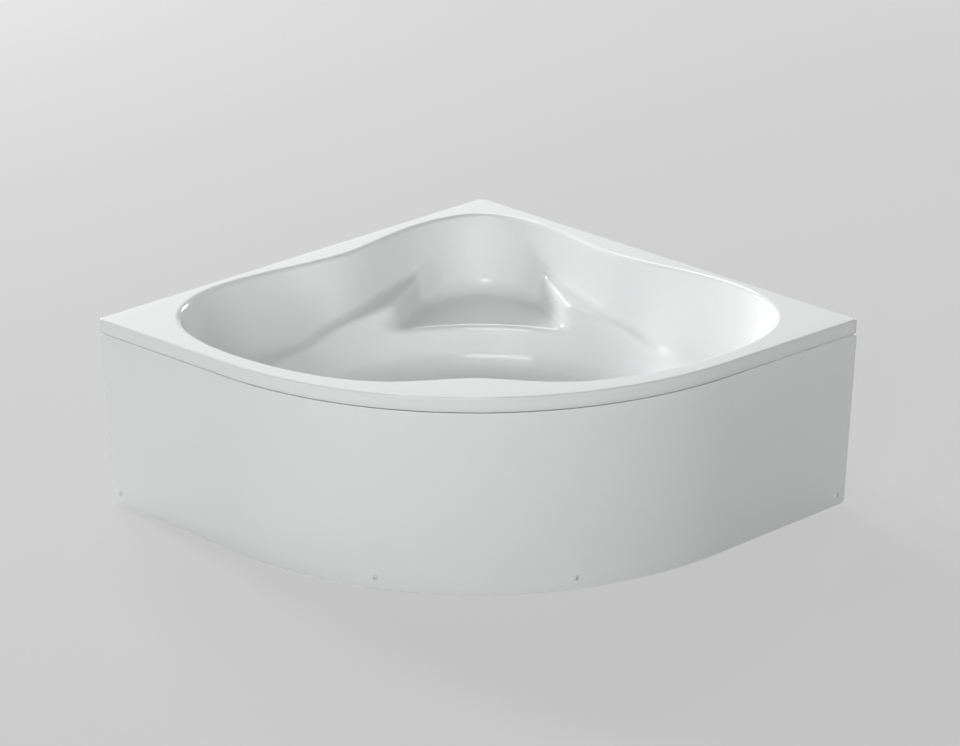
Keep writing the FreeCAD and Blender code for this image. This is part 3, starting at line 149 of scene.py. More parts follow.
def signed_volume(points, faces):
    """Six times the volume inside the faces, each cut into a fan; negative if inside out."""
    total = 0.0
    for group in faces:
        first = points[group[:, 0]]
        for step in range(1, group.shape[1] - 1):
            cross = np.cross(points[group[:, step]], points[group[:, step + 1]])
            total += float(np.sum(first * cross))
    return total


def new_piece(name, points, faces, finishes, picks=None, sharp=35.0):
    """An object made from points and groups of faces, turned to face outwards.

    picks gives the finish's number for each face, in the order of the groups.
    """
    faces = [np.asarray(group) for group in faces]
    if signed_volume(points, faces) < 0:
        faces = [group[:, ::-1] for group in faces]
    sizes = np.concatenate([np.full(len(group), group.shape[1]) for group in faces])
    corners = np.concatenate([group.ravel() for group in faces])
    mesh = bpy.data.meshes.new(name)
    mesh.vertices.add(len(points))
    mesh.vertices.foreach_set("co", np.asarray(points, np.float32).ravel())
    mesh.loops.add(len(corners))
    mesh.loops.foreach_set("vertex_index", corners.astype(np.int32))
    mesh.polygons.add(len(sizes))
    mesh.polygons.foreach_set("loop_start", (np.cumsum(sizes) - sizes).astype(np.int32))
    if picks is not None:
        mesh.polygons.foreach_set("material_index", np.asarray(picks, np.int32))
    mesh.polygons.foreach_set("use_smooth", np.ones(len(sizes), bool))
    mesh.update(calc_edges=True)
    mesh.validate()
    mesh.set_sharp_from_angle(angle=math.radians(sharp))
    for finish in finishes:
        mesh.materials.append(finish)
    piece = bpy.data.objects.new(name, mesh)
    bpy.context.scene.collection.objects.link(piece)
    return piece


def hand_over(piece, body, slot, *nodes):
    """The piece rides on a body and stands for the CAD nodes, which it hides. The slot is not
    used.
    """
    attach(piece, body)
    if nodes:
        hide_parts(*nodes)


# The part of a side that the arc at one of its ends may take up.
LONGEST_ARC = 0.45


def rounded_profile(corners, radius, steps=5):
    """A chain of points with each inner corner turned into a small arc.

    An arc is the quadratic curve between two points at the radius from the corner, or nearer
    where a side is too short for it, with the corner as its control point.
    """
    corners = np.asarray(corners, float)
    parts = [corners[:1]]
    for before, here, after in zip(corners[:-2], corners[1:-1], corners[2:]):
        sides = np.linalg.norm(here - before), np.linalg.norm(after - here)
        reach = min(radius, sides[0] * LONGEST_ARC, sides[1] * LONGEST_ARC)
        start = here + (before - here) * reach / sides[0]
        end = here + (after - here) * reach / sides[1]
        part = np.linspace(0, 1, steps)[:, None]
        parts.append((1 - part) ** 2 * start + 2 * part * (1 - part) * here + part ** 2 * end)
    parts.append(corners[-1:])
    return np.concatenate(parts)


def turned(profile, segments, matrix):
    """Points and faces of a profile of radius and height pairs turned about an axis.

    A point is radius times the cosine and sine of the turn, and its height, moved by the matrix.
    Ends on the axis become one point with a fan of triangles; otherwise the profile is closed.
    """
    profile = np.asarray(profile, float)
    on_axis = profile[:, 0] < 1e-9
    rings = profile[~on_axis]
    turn = np.linspace(0, 2 * math.pi, segments, endpoint=False)
    points = np.stack([rings[:, :1] * np.cos(turn), rings[:, :1] * np.sin(turn),
                       rings[:, 1:] + 0 * turn], axis=-1).reshape(-1, 3)
    closed = not on_axis.any()
    faces = [grid_faces(len(rings), segments, wrap_rows=closed, wrap_columns=True)]
    column = np.arange(segments)
    for end, first in ((0, 0), (-1, (len(rings) - 1) * segments)):
        if on_axis[end]:
            points = np.vstack([points, [0, 0, profile[end, 1]]])
            ring = first + column, first + (column + 1) % segments
            pole = np.full(segments, len(points) - 1)
            order = (ring[1], ring[0], pole) if end == 0 else (ring[0], ring[1], pole)
            faces.append(np.stack(order, axis=-1))
    matrix = np.array(matrix)
    return points @ matrix[:3, :3].T + matrix[:3, 3], faces


def merged(parts):
    """Several sets of points and faces as one."""
    points, faces, start = [], [], 0
    for part_points, part_faces in parts:
        points.append(part_points)
        faces += [group + start for group in part_faces]
        start += len(part_points)
    return np.concatenate(points), faces


def standing(across, along, height, tilt=None):
    """A matrix that sets a turned piece down at a point of the plan."""
    move = Matrix.Translation((across, along - PLAN_MIDDLE, height))
    return move @ tilt if tilt else move


# ---------------------------------------------------------------- the moulded shell

def inside_both(first, second, radius):
    """Depth inside two regions at once, their inner corner rounded: an arc where both are near."""
    corner = np.hypot(np.maximum(radius - first, 0), np.maximum(radius - second, 0))
    return np.maximum(radius, np.minimum(first, second)) - corner


def smooth_step(number, start, end):
    """0 below start, 1 above end, and an even S between them."""
    part = np.clip((number - start) / (end - start), 0, 1)
    return part * part * (3 - 2 * part)


def spline_weights(knots, places):
    """How much each control point counts at each place: the basis of the cubic B-spline.

    It starts from steps between the knots. Three times over, each neighbouring pair is blended
    by the distances to the knots at their outer ends.
    """
    places = places[:, None]
    basis = ((places >= knots[:-1]) & (places < knots[1:])).astype(float)
    for degree in (1, 2, 3):
        span_up = knots[degree:-1] - knots[:-degree - 1]
        span_down = knots[degree + 1:] - knots[1:-degree]
        rise = (places - knots[:-degree - 1]) * (span_up > 0) / np.maximum(span_up, 1e-9)
        fall = (knots[degree + 1:] - places) * (span_down > 0) / np.maximum(span_down, 1e-9)
        basis = rise * basis[:, :-1] + fall * basis[:, 1:]
    return basis


def closed_weights(count, places):
    """The basis of a closed even spline, for control points with the first ones repeated."""
    return spline_weights(np.arange(count + 7) - 3.0, places % count)


def closed_points(points):
    """Control points with the last one put before them and the first two after."""
    return np.concatenate([points[-1:], points, points[:2]])


EDGE_LOOP = np.vstack([EDGE_POLES, EDGE_POLES[-2:0:-1] * (-1, 1)])


def edge_points(places):
    """Plan points of the basin's edge: a closed even spline over EDGE_POLES and their mirror."""
    return closed_weights(len(EDGE_LOOP), places) @ closed_points(EDGE_LOOP)


def bearings(points):
    """Bearing of plan points from the waste, clockwise from the corner of the walls."""
    return np.arctan2(points[:, 0], points[:, 1] - WASTE) % (2 * math.pi)


# Points on the rounding at the walls' corner, on the one at the rim's end, on half the front
# arc, and along half the whole outline.
BACK_STEPS, END_STEPS, FRONT_STEPS, OUTLINE_STEPS = 40, 60, 400, 4000


def rim_points(turns, inset):
    """The rim's outline at an inset, by bearing from the waste.

    The outline is two walls at right angles, two straight runs and the front arc, with rounded
    corners, drawn finely and read between its bearings. An inset corner moves along its middle
    line by the inset over the sine of half its angle.
    """
    radius = FRONT_RADIUS - inset
    corner_angle = math.radians(45) + RUN_ANGLE
    reach = inset / math.sin(corner_angle / 2)
    lift = (math.radians(45) - RUN_ANGLE) / 2
    corner = np.array([HALF_DIAGONAL - reach * math.cos(lift), reach * math.sin(lift)])
    back = np.array([0, HALF_DIAGONAL - inset * math.sqrt(2)])
    end_round, back_round = max(END_ROUND - inset, MM), max(BACK_ROUND - inset, MM)

    def arc(centre, size, start, end, steps):
        turn = np.linspace(start, end, steps)
        return np.stack([centre[0] + size * np.cos(turn), centre[1] + size * np.sin(turn)], -1)

    back_arc = arc(back - (0, back_round * math.sqrt(2)), back_round,
                   math.pi / 2, math.pi / 4, BACK_STEPS)
    inward = np.array([-math.cos(lift), math.sin(lift)])
    end_centre = corner + inward * end_round / math.sin(corner_angle / 2)
    run_turn = RUN_ANGLE - math.pi / 2
    end_arc = arc(end_centre, end_round, math.pi / 4, run_turn, END_STEPS)
    front_arc = arc((0, FRONT_CENTRE), radius, run_turn, -math.pi / 2, FRONT_STEPS)
    half = np.vstack([back_arc, end_arc, front_arc])
    spans = np.linalg.norm(np.diff(half, axis=0), axis=1)
    along = np.concatenate([[0], np.cumsum(spans)])
    fine = np.union1d(np.linspace(0, along[-1], OUTLINE_STEPS), along)
    half = np.stack([np.interp(fine, along, half[:, 0]), np.interp(fine, along, half[:, 1])], -1)
    full = np.vstack([half, half[::-1] * (-1, 1)])
    bearing = bearings(full)
    order = np.argsort(bearing)
    reach = np.hypot(full[:, 0], full[:, 1] - WASTE)
    distance = np.interp(turns, bearing[order], reach[order], period=2 * math.pi)
    return np.stack([distance * np.sin(turns), WASTE + distance * np.cos(turns)], -1)


RIM_END_BEARING = math.atan2(HALF_DIAGONAL, -WASTE)
# Bearing, width in radians and gain of each bell that brings the columns closer together: at
# the corner of the walls, over the seat and at the rim's end.
CROWDED_BEARINGS = ((0, 0.03, 2.0), (0, 0.8, 1.2), (RIM_END_BEARING, 0.008, 9.0))


def column_bearings(count):
    """Bearings of the columns: even steps of the sum of 1 and the bells on both sides."""
    fine = np.linspace(0, 2 * math.pi, 20000)
    density = np.ones_like(fine)
    for centre, width, gain in CROWDED_BEARINGS:
        for place in (centre, 2 * math.pi - centre):
            density += gain * np.exp(-((fine - place) / width) ** 2)
    total = np.concatenate([[0], np.cumsum(density[1:])])
    return np.interp(np.linspace(0, total[-1], count, endpoint=False), total, fine)


def seat_block(across, along, height, armrest, seat):
    """Depth inside the block of the seat and armrests at points of the basin.

    The block lies behind a leaning arc and under the armrests' tops. The seat is a recess cut
    into it, over the seat's level and between two leaning sides that open towards the front.
    Edges are rounded narrowly, but the upright corner of an armrest widens by a parabola of the
    height to its full radius halfway up.
    """
    across = np.abs(across)
    centre = SEAT_FRONT - SEAT_RADIUS
    arc_gap = np.where(along < centre, -SEAT_RADIUS,
                       np.hypot(across, along - centre) - SEAT_RADIUS)
    front = arc_gap + SEAT_LEAN * (seat - height)
    full = inside_both(front, armrest - height, SEAT_EDGE)
    side_line = ARMREST_START[0] + ARMREST_SPREAD * (ARMREST_START[1] - along)
    side = (across - side_line) / math.hypot(1, ARMREST_SPREAD)
    side = side + ARMREST_LEAN * (armrest - height)
    recess = inside_both(height - seat, -side, ARMREST_FOOT)
    part = np.clip((height - seat) / (armrest - seat), 0, 1)
    corner = SEAT_EDGE + (ARMREST_CORNER - SEAT_EDGE) * 4 * part * (1 - part)
    return inside_both(full, -recess, corner)


HALVINGS = 18


def moulding_height(radius, toward, reach, squareness, lean, crease, armrest, seat):
    """Height of the moulding's upper surface at a distance from the waste in each direction.

    The water is inside the leaning wall and over the floor, less the seat's block, with the
    corners between them rounded. The surface, where the depth into the water is nothing, is
    found by halving the range of heights again and again.
    """
    across, along = radius * toward[:, 0], WASTE + radius * toward[:, 1]
    edge_gap = (reach - radius) * squareness
    low = np.full(radius.shape, FLOOR - MM)
    high = np.full(radius.shape, RIM + MM)
    for _ in range(HALVINGS):
        middle = (low + high) / 2
        depth = RIM - middle
        block = seat_block(across, along, middle, armrest, seat)
        water = inside_both(edge_gap - lean * depth, -block, crease)
        water = inside_both(water, middle - FLOOR, FLOOR_FILLET)
        solid = inside_both(-water, depth, EDGE_ROLL) > 0
        low = np.where(solid, middle, low)
        high = np.where(solid, high, middle)
    return (low + high) / 2


def softened(grid):
    """The even cubic B-spline over a grid at its own points: 1, 4 and 1 sixths of neighbours.

    It closes sideways, and its first and last rings stay where they are.
    """
    grid = (np.roll(grid, 1, axis=1) + 4 * grid + np.roll(grid, -1, axis=1)) / 6
    inner = (grid[:-2] + 4 * grid[1:-1] + grid[2:]) / 6
    return np.concatenate([grid[:1], inner, grid[-1:]])


# Points along the basin's edge and along each slice.
EDGE_STEPS, SLICE_STEPS = 7200, 321
# The part taken off the step at the edge, and the width of that bell as a part of the way.
EDGE_CROWDING, CROWDING_WIDTH = 0.85, 0.136


def moulding_grid(settings):
    """The moulding's upper surface: rings of points from the deck down to the waste hole.

    Slices run from the basin's edge, where it has the wanted bearings, straight towards the
    waste. Each one is followed in small even parts, and its rings are then set at even steps of
    the way along the surface, shortened near the edge by a bell.
    """
    fine = np.linspace(0, len(EDGE_LOOP), EDGE_STEPS, endpoint=False)
    bearing = bearings(edge_points(fine))
    order = np.argsort(bearing)
    places = np.interp(column_bearings(settings.columns), bearing[order], fine[order],
                       period=2 * math.pi)
    edge = edge_points(places) - (0, WASTE)
    run = edge_points(places + 0.01) - edge_points(places - 0.01)
    reach = np.hypot(edge[:, 0], edge[:, 1])
    toward = edge / reach[:, None]
    run /= np.hypot(run[:, 0], run[:, 1])[:, None]
    squareness = np.abs(toward[:, 0] * run[:, 1] - toward[:, 1] * run[:, 0])
    bearing = np.degrees(np.arctan2(np.abs(edge[:, 0]), edge[:, 1]))
    lean = BACK_LEAN + (SIDE_LEAN - BACK_LEAN) * smooth_step(bearing, *BACK_TO_SIDE)
    lean = lean + (FRONT_LEAN - lean) * smooth_step(bearing, *SIDE_TO_FRONT)
    behind_armrest = (smooth_step(bearing, *CREASE_START)
                      * (1 - smooth_step(bearing, *CREASE_END)))
    crease = SEAT_FILLET + (ARMREST_CREASE - SEAT_FILLET) * behind_armrest
    armrest = np.interp(bearing, ARMREST_BEARINGS, ARMREST_TOPS)
    armrest = settings.seat_height + settings.armrest_lift * (armrest - settings.seat_height)
    slice_facts = toward, reach, squareness, lean, crease, armrest, settings.seat_height
    outer = reach + (EDGE_ROLL + DECK_START) / squareness
    radius = outer + (WASTE_HOLE - outer) * np.linspace(0, 1, SLICE_STEPS)[:, None]
    height = moulding_height(radius, *slice_facts)
    travelled = np.cumsum(np.hypot(np.diff(height, axis=0), np.diff(radius, axis=0)), axis=0)
    travelled = np.vstack([np.zeros(len(reach)), travelled / travelled[-1]])
    way = np.arange(settings.rings - 1) / settings.rings
    step = 1 - EDGE_CROWDING * np.exp(-(way / CROWDING_WIDTH) ** 2)
    wanted = np.concatenate([[0], np.cumsum(step)])[:, None] / step.sum()
    # Each slice gets its own range of numbers, so that one call reads them all.
    shift = 2.0 * np.arange(len(reach))
    radius = np.interp((wanted + shift).T.ravel(), (travelled + shift).T.ravel(),
                       radius.T.ravel()).reshape(len(reach), -1).T
    height = moulding_height(radius, *slice_facts)
    height[0], height[-1] = RIM, FLOOR
    return softened(np.stack([radius * toward[:, 0], WASTE + radius * toward[:, 1], height],
                             axis=-1))


def grid_normals(grid):
    """Unit normals of a grid that closes sideways, from the cross product of its differences."""
    side = np.roll(grid, -1, axis=1) - np.roll(grid, 1, axis=1)
    down = np.gradient(grid, axis=0)
    normal = np.cross(side, down)
    normal *= np.sign(normal[..., 2:3] + 1e-12)
    normal[0], normal[-1] = (0, 0, 1), (0, 0, 1)
    return normal / np.linalg.norm(normal, axis=-1, keepdims=True)


# The hidden side has one ring to so many of the upper side.
UNDER_STEP = 3


def shell_rings(settings):
    """All rings of the shell, round its whole section, and how many show acrylic.

    They run up the basin, out over the deck, round the rim's edge, down the lip and back under
    the deck and basin to the waste hole, so the last ring joins the first.
    """
    upper = moulding_grid(settings)
    turns = bearings(upper[0, :, :2])
    under = (upper - SKIN * grid_normals(upper))[::UNDER_STEP]

    def outline(inset, level):
        plan = rim_points(turns, inset + FACET_SAG)
        return np.concatenate([plan, np.full((len(turns), 1), level)], axis=1)

    rim = outline(RIM_ROUND, RIM)
    deck = [upper[0] + (rim - upper[0]) * part for part in (0.33, 0.67)]
    turn = np.radians(np.linspace(0, 90, 8))
    edge = [outline(RIM_ROUND * (1 - math.sin(a)), RIM - RIM_ROUND * (1 - math.cos(a)))
            for a in turn]
    lip = [outline(0, LIP_MIDDLE), outline(0, LIP_BOTTOM + LIP_EDGE),
           outline(LIP_EDGE, LIP_BOTTOM)]
    back = [outline(SKIN - LIP_EDGE, LIP_BOTTOM), outline(SKIN, LIP_BOTTOM + LIP_EDGE),
            outline(SKIN, RIM - SKIN)]
    shown = [*upper[::-1], *deck, *edge, *lip]
    return np.stack([*shown, *back, *under]), len(shown)


class BATH_OT_shell(bpy.types.Operator):
    """Build the moulded shell with its seat, armrests, deck and lip"""
    bl_idname = "bath.shell"
    bl_label = "Moulded shell"

    def execute(self, context):
        rings, shown = shell_rings(context.scene.bath.shell)
        rings[..., 1] -= PLAN_MIDDLE
        count, columns = rings.shape[:2]
        faces = grid_faces(count, columns, wrap_rows=True, wrap_columns=True)
        picks = np.repeat((np.arange(count) >= shown).astype(int), columns)
        picks[-columns:] = 0
        shell = new_piece("moulded_shell", rings.reshape(-1, 3), [faces],
                          [acrylic_finish(), laminate_finish()], picks, sharp=50)
        hand_over(shell, "bath", "acrylic", "tub_shell")
        return {"FINISHED"}


# ---------------------------------------------------------------- the curved panel

PANEL_FACE, PANEL_BACK = 2 * MM, 7 * MM
PANEL_LOW, PANEL_HIGH = 4 * MM, 535 * MM
PANEL_OVERHANG, PANEL_CORNER, PANEL_EDGE = 3 * MM, 14 * MM, 1.6 * MM
PANEL_COLUMNS, CORNER_COLUMNS, EDGE_COLUMNS, PANEL_LEVELS = 150, 14, 5, 12


def front_point(distance, inset):
    """Plan points at a distance along the front from its middle, at an inset from the rim.

    Within the arc the point turns about the arc's centre, and past it the run goes on straight.
    """
    arc_half = RUN_ANGLE * FRONT_RADIUS
    turn = np.clip(distance, -arc_half, arc_half) / FRONT_RADIUS
    radius = FRONT_RADIUS - inset
    past = distance - np.clip(distance, -arc_half, arc_half)
    across = radius * np.sin(turn) + past * np.cos(turn)
    along = FRONT_CENTRE - radius * np.cos(turn) + np.abs(past) * np.sin(np.abs(turn))
    return across, along


def panel_points():
    """The panel's rings of points, one loop round its thickness at each distance along it.

    The loop is a rounded oblong between two insets and two heights. Near each end its height
    shrinks by the quarter circle of the corner, and its thickness by the edge's rounding.
    """
    length = RUN_ANGLE * FRONT_RADIUS + RUN_LENGTH + PANEL_OVERHANG
    corner_turn, edge_turn = (np.linspace(0, math.pi / 2, count)
                              for count in (CORNER_COLUMNS, EDGE_COLUMNS))
    near_end = length - PANEL_CORNER * (1 - np.cos(corner_turn))
    tip = length - PANEL_EDGE * (1 - np.cos(edge_turn))
    middle = np.linspace(0, length - PANEL_CORNER, PANEL_COLUMNS)
    half = np.unique(np.concatenate([middle, near_end, tip]).round(7))
    distance = np.concatenate([-half[:0:-1], half])
    gap = length - np.abs(distance)

    def quarter(size):
        reach = np.clip(size - gap, 0, size)
        return size - np.sqrt(np.maximum(size ** 2 - reach ** 2, 0))

    shrink, thin = quarter(PANEL_CORNER), quarter(PANEL_EDGE)
    rise, sink = PANEL_EDGE * (1 - np.cos(edge_turn)), PANEL_EDGE * (1 - np.sin(edge_turn))
    full = PANEL_HIGH - PANEL_LOW
    heights = np.linspace(PANEL_EDGE, full - PANEL_EDGE, PANEL_LEVELS)
    inset = np.concatenate([sink, np.zeros(PANEL_LEVELS - 2), sink[::-1]])
    level = np.concatenate([rise, heights[1:-1], full - rise[::-1]])
    thickness = PANEL_BACK - PANEL_FACE
    inset = np.concatenate([inset, thickness - inset[::-1]])
    level = np.concatenate([level, level[::-1]])
    part = level / full
    level = PANEL_LOW + level[None, :] + shrink[:, None] * (1 - 2 * part[None, :])
    side = np.clip(inset / thickness, 0, 1)
    inset = PANEL_FACE + inset[None, :] + thin[:, None] * (1 - 2 * side[None, :])
    across, along = front_point(distance[:, None], inset)
    return np.stack([across, along - PLAN_MIDDLE, level], axis=-1)


class BATH_OT_panel(bpy.types.Operator):
    """Build the curved front panel"""
    bl_idname = "bath.panel"
    bl_label = "Front panel"

    def execute(self, context):
        loops = panel_points()
        count, around = loops.shape[:2]
        sides = grid_faces(count, around, wrap_columns=True)
        ends = np.stack([np.arange(around)[::-1], np.arange(around) + (count - 1) * around])
        panel = new_piece("front_panel", loops.reshape(-1, 3), [sides, ends],
                          [acrylic_finish()], sharp=40)
        hand_over(panel, "bath", "acrylic", "apron_panel")
        return {"FINISHED"}


CAP_PLACES = np.array((-1036, -268, 268, 1036)) * MM
CAP_LEVEL, CAP_SEGMENTS = 38 * MM, 40
# Radius and height pairs in millimetres, here and in the other turned pieces.
CAP_DOME = ((7.3, 0.2), (7.9, 0), (8.0, 1.3), (7.4, 2.9), (5.6, 4.2), (3.2, 4.8), (0, 5.0))
CAP_HOLLOW = ((0, 3.9), (5.2, 3.2), (7.2, 0.3))


class BATH_OT_caps(bpy.types.Operator):
    """Build the domed caps over the panel's screws"""
    bl_idname = "bath.caps"
    bl_label = "Screw caps"

    def execute(self, context):
        dome = rounded_profile(CAP_DOME, 0.9, 6) * MM
        profile = np.vstack([dome[1:], np.array(CAP_HOLLOW) * MM])
        parts = []
        for across in CAP_PLACES:
            on_arc = min(max(across, -RUN_END), RUN_END)
            angle = math.asin(on_arc / FRONT_RADIUS)
            distance = angle * FRONT_RADIUS + (across - on_arc) / math.cos(RUN_ANGLE)
            plan = front_point(np.array(distance), PANEL_FACE)
            turn = Matrix.Rotation(angle, 4, "Z") @ Matrix.Rotation(math.pi / 2, 4, "X")
            place = standing(float(plan[0]), float(plan[1]), CAP_LEVEL, turn)
            parts.append(turned(profile, CAP_SEGMENTS, place))
        caps = new_piece("screw_caps_domed", *merged(parts), [cap_finish()], sharp=45)
        hand_over(caps, "bath", "cap_plastic", "screw_caps")
        return {"FINISHED"}


# ---------------------------------------------------------------- bright metal

FLANGE = ((20, -37), (23, -37), (23, 0.02), (36, 0.02), (35.2, 2.2), (26, 3), (21.5, 3),
          (20, 1.4), (20, -37))
PLUG = ((0, 5), (24, 5), (26, 6.6), (25, 8.6), (18, 10.3), (9, 11.0), (0, 11.2))
PLATE = ((6.05, 0.4), (36, 0.4), (35.8, 2.2), (31, 6), (6.05, 6), (6.05, 0.4))
KNOB = ((0, -22), (6, -22), (6, 6.5), (30, 6.5), (29.8, 10.5), (26, 15), (16, 17), (0, 17.5))
SEGMENTS = 96


class BATH_OT_waste(bpy.types.Operator):
    """Build the waste's flange and the pop-up plug"""
    bl_idname = "bath.waste"
    bl_label = "Waste"

    def execute(self, context):
        chrome = chrome_finish()
        place = standing(0, WASTE, FLOOR)
        ring = rounded_profile(FLANGE, 1.0)[:-1] * MM
        flange = new_piece("waste_flange_ring", *turned(ring, SEGMENTS, place), [chrome])
        hand_over(flange, "bath", "chrome")
        cap = rounded_profile(PLUG, 2.0, 6) * MM
        plug = new_piece("plug_cap_polished", *turned(cap, SEGMENTS, place), [chrome])
        hand_over(plug, "plug", "chrome", "plug_cap")
        paint(chrome, "waste_flange", "plug_stem")
        return {"FINISHED"}


class BATH_OT_overflow(bpy.types.Operator):
    """Build the overflow's plate and its turning knob"""
    bl_idname = "bath.overflow"
    bl_label = "Overflow"

    def execute(self, context):
        chrome = chrome_finish()
        depth = RIM - OVERFLOW_LEVEL
        front_middle = np.array([len(EDGE_LOOP) / 2])
        along = float(edge_points(front_middle)[0, 1])
        tilt = Matrix.Rotation(math.atan(FRONT_LEAN) - math.pi / 2, 4, "X")
        place = standing(0, along + FRONT_LEAN * depth, OVERFLOW_LEVEL, tilt)
        plate = rounded_profile(PLATE, 1.6, 6)[:-1] * MM
        piece = new_piece("overflow_plate_polished", *turned(plate, SEGMENTS, place), [chrome])
        hand_over(piece, "bath", "chrome", "overflow_plate")
        disc = rounded_profile(KNOB, 2.0, 6) * MM
        parts = [turned(disc, SEGMENTS, place), grip_bar(place)]
        knob = new_piece("knob_disc", *merged(parts), [chrome])
        hand_over(knob, "knob", "chrome", "overflow_knob")
        return {"FINISHED"}


# Half the length and width of the bar across the knob, the heights of its foot and top, and
# its points around and levels.
BAR_REACH, BAR_WIDTH, BAR_FOOT, BAR_TOP = 25 * MM, 4.4 * MM, 10 * MM, 24 * MM
BAR_POINTS, BAR_LEVELS = 64, 12


def grip_bar(place):
    """A rounded bar across the knob: a superellipse in plan that narrows as it rises.

    Across and along follow the cosine and sine, each with the square root of its size, times
    the square root of 1 less the fourth power of 0.92 times the rise.
    """
    turn = np.linspace(0, 2 * math.pi, BAR_POINTS, endpoint=False)
    rise = np.linspace(0, 1, BAR_LEVELS)[:, None]
    narrow = np.sqrt(np.maximum(1 - (0.92 * rise) ** 4, 0))
    across, along = (size * narrow * np.sign(wave) * np.abs(wave) ** 0.5 for size, wave in
                     ((BAR_REACH, np.cos(turn)), (BAR_WIDTH, np.sin(turn))))
    height = BAR_FOOT + (BAR_TOP - BAR_FOOT) * rise + 0 * turn
    points = np.stack([across, along, height], axis=-1).reshape(-1, 3)
    foot = np.arange(BAR_POINTS)
    ends = np.stack([foot[::-1], foot + (BAR_LEVELS - 1) * BAR_POINTS])
    matrix = np.array(place)
    points = points @ matrix[:3, :3].T + matrix[:3, 3]
    return points, [grid_faces(BAR_LEVELS, BAR_POINTS, wrap_columns=True), ends]


# ---------------------------------------------------------------- finishes

def new_finish(name, colour, roughness, metallic=0.0):
    """A material with its tree, shader and the object's own coordinates.

    Where the material is there already, the other three are None.
    """
    finish = bpy.data.materials.get(name)
    if finish:
        return finish, None, None, None
    finish = bpy.data.materials.new(name)
    finish.use_nodes = True
    tree = finish.node_tree
    shader = tree.nodes["Principled BSDF"]
    shader.inputs["Base Color"].default_value = (*colour, 1)
    shader.inputs["Roughness"].default_value = roughness
    shader.inputs["Metallic"].default_value = metallic
    place = tree.nodes.new("ShaderNodeTexCoord")
    return finish, tree, shader, place.outputs["Object"]


def noise(tree, where, scale, detail=3.0, roughness=0.5):
    """A cloud pattern with so many features to the metre."""
    node = tree.nodes.new("ShaderNodeTexNoise")
    node.inputs["Scale"].default_value = scale
    node.inputs["Detail"].default_value = detail
    node.inputs["Roughness"].default_value = roughness
    tree.links.new(where, node.inputs["Vector"])
    return node.outputs["Fac"]


def spread(tree, source, low, high, floor=0.3, ceiling=0.7):
    """The source's part between floor and ceiling mapped onto a range of numbers."""
    node = tree.nodes.new("ShaderNodeMapRange")
    node.inputs["From Min"].default_value = floor
    node.inputs["From Max"].default_value = ceiling
    node.inputs["To Min"].default_value = low
    node.inputs["To Max"].default_value = high
    tree.links.new(source, node.inputs["Value"])
    return node.outputs["Result"]


def blend_colours(tree, source, first, second):
    """A colour between two, by the source."""
    node = tree.nodes.new("ShaderNodeMix")
    node.data_type = "RGBA"
    node.inputs["A"].default_value = (*first, 1)
    node.inputs["B"].default_value = (*second, 1)
    tree.links.new(source, node.inputs["Factor"])
    return node.outputs["Result"]


def bump(tree, shader, height, distance, strength=1.0):
    """Small relief: the height pattern times the distance in metres."""
    node = tree.nodes.new("ShaderNodeBump")
    node.inputs["Distance"].default_value = distance
    node.inputs["Strength"].default_value = strength
    tree.links.new(height, node.inputs["Height"])
    tree.links.new(node.outputs["Normal"], shader.inputs["Normal"])


def shade(colour, factor):
    """A colour times a factor, up to white."""
    return tuple(min(1.0, channel * factor) for channel in colour)


def acrylic_finish():
    """Glossy moulded acrylic: faint clouding, a slow waviness and a hard clear gloss."""
    colour = tuple(bpy.context.scene.bath.finish.acrylic)
    finish, tree, shader, where = new_finish("acrylic", colour, 0.1)
    if tree:
        cloud = noise(tree, where, 2.2, 2)
        tint = blend_colours(tree, spread(tree, cloud, 0, 1), shade(colour, 0.985), colour)
        tree.links.new(tint, shader.inputs["Base Color"])
        gloss = spread(tree, noise(tree, where, 26, 4), 0.075, 0.13)
        tree.links.new(gloss, shader.inputs["Roughness"])
        bump(tree, shader, noise(tree, where, 7, 1), 0.0012, 0.5)
        shader.inputs["IOR"].default_value = 1.49
        shader.inputs["Coat Weight"].default_value = 0.35
        shader.inputs["Coat Roughness"].default_value = 0.04
    return finish


def laminate_finish():
    """Chopped glass strands in resin on the shell's back: a matted relief and stained patches."""
    colour = tuple(bpy.context.scene.bath.finish.laminate)
    finish, tree, shader, where = new_finish("laminate", colour, 0.6)
    if tree:
        stretch = tree.nodes.new("ShaderNodeMapping")
        stretch.inputs["Scale"].default_value = (1, 0.25, 1)
        stretch.inputs["Rotation"].default_value = (0.3, 0.2, 0.7)
        tree.links.new(where, stretch.inputs["Vector"])
        strands = noise(tree, stretch.outputs["Vector"], 160, 6, 0.65)
        patch = noise(tree, where, 5, 3)
        tint = blend_colours(tree, spread(tree, patch, 0, 1), shade(colour, 0.8),
                             shade(colour, 1.12))
        tree.links.new(tint, shader.inputs["Base Color"])
        tree.links.new(spread(tree, strands, 0.4, 0.75), shader.inputs["Roughness"])
        bump(tree, shader, strands, 0.002)
    return finish


def cap_finish():
    """Satin moulded plastic of the small caps."""
    finish, tree, shader, where = new_finish("cap_plastic", (0.62, 0.64, 0.64), 0.3)
    if tree:
        grain = noise(tree, where, 900, 3)
        tint = blend_colours(tree, spread(tree, grain, 0, 1), (0.58, 0.6, 0.6),
                             (0.66, 0.68, 0.68))
        tree.links.new(tint, shader.inputs["Base Color"])
        bump(tree, shader, grain, 0.0001)
    return finish


def chrome_finish():
    """Polished chrome plate with faint wipe marks in its gloss."""
    finish, tree, shader, where = new_finish("chrome", (0.82, 0.83, 0.84), 0.07, 1.0)
    if tree:
        marks = noise(tree, where, 120, 6, 0.7)
        tree.links.new(spread(tree, marks, 0.04, 0.13), shader.inputs["Roughness"])
        bump(tree, shader, noise(tree, where, 40, 1), 0.0002, 0.4)
    return finish


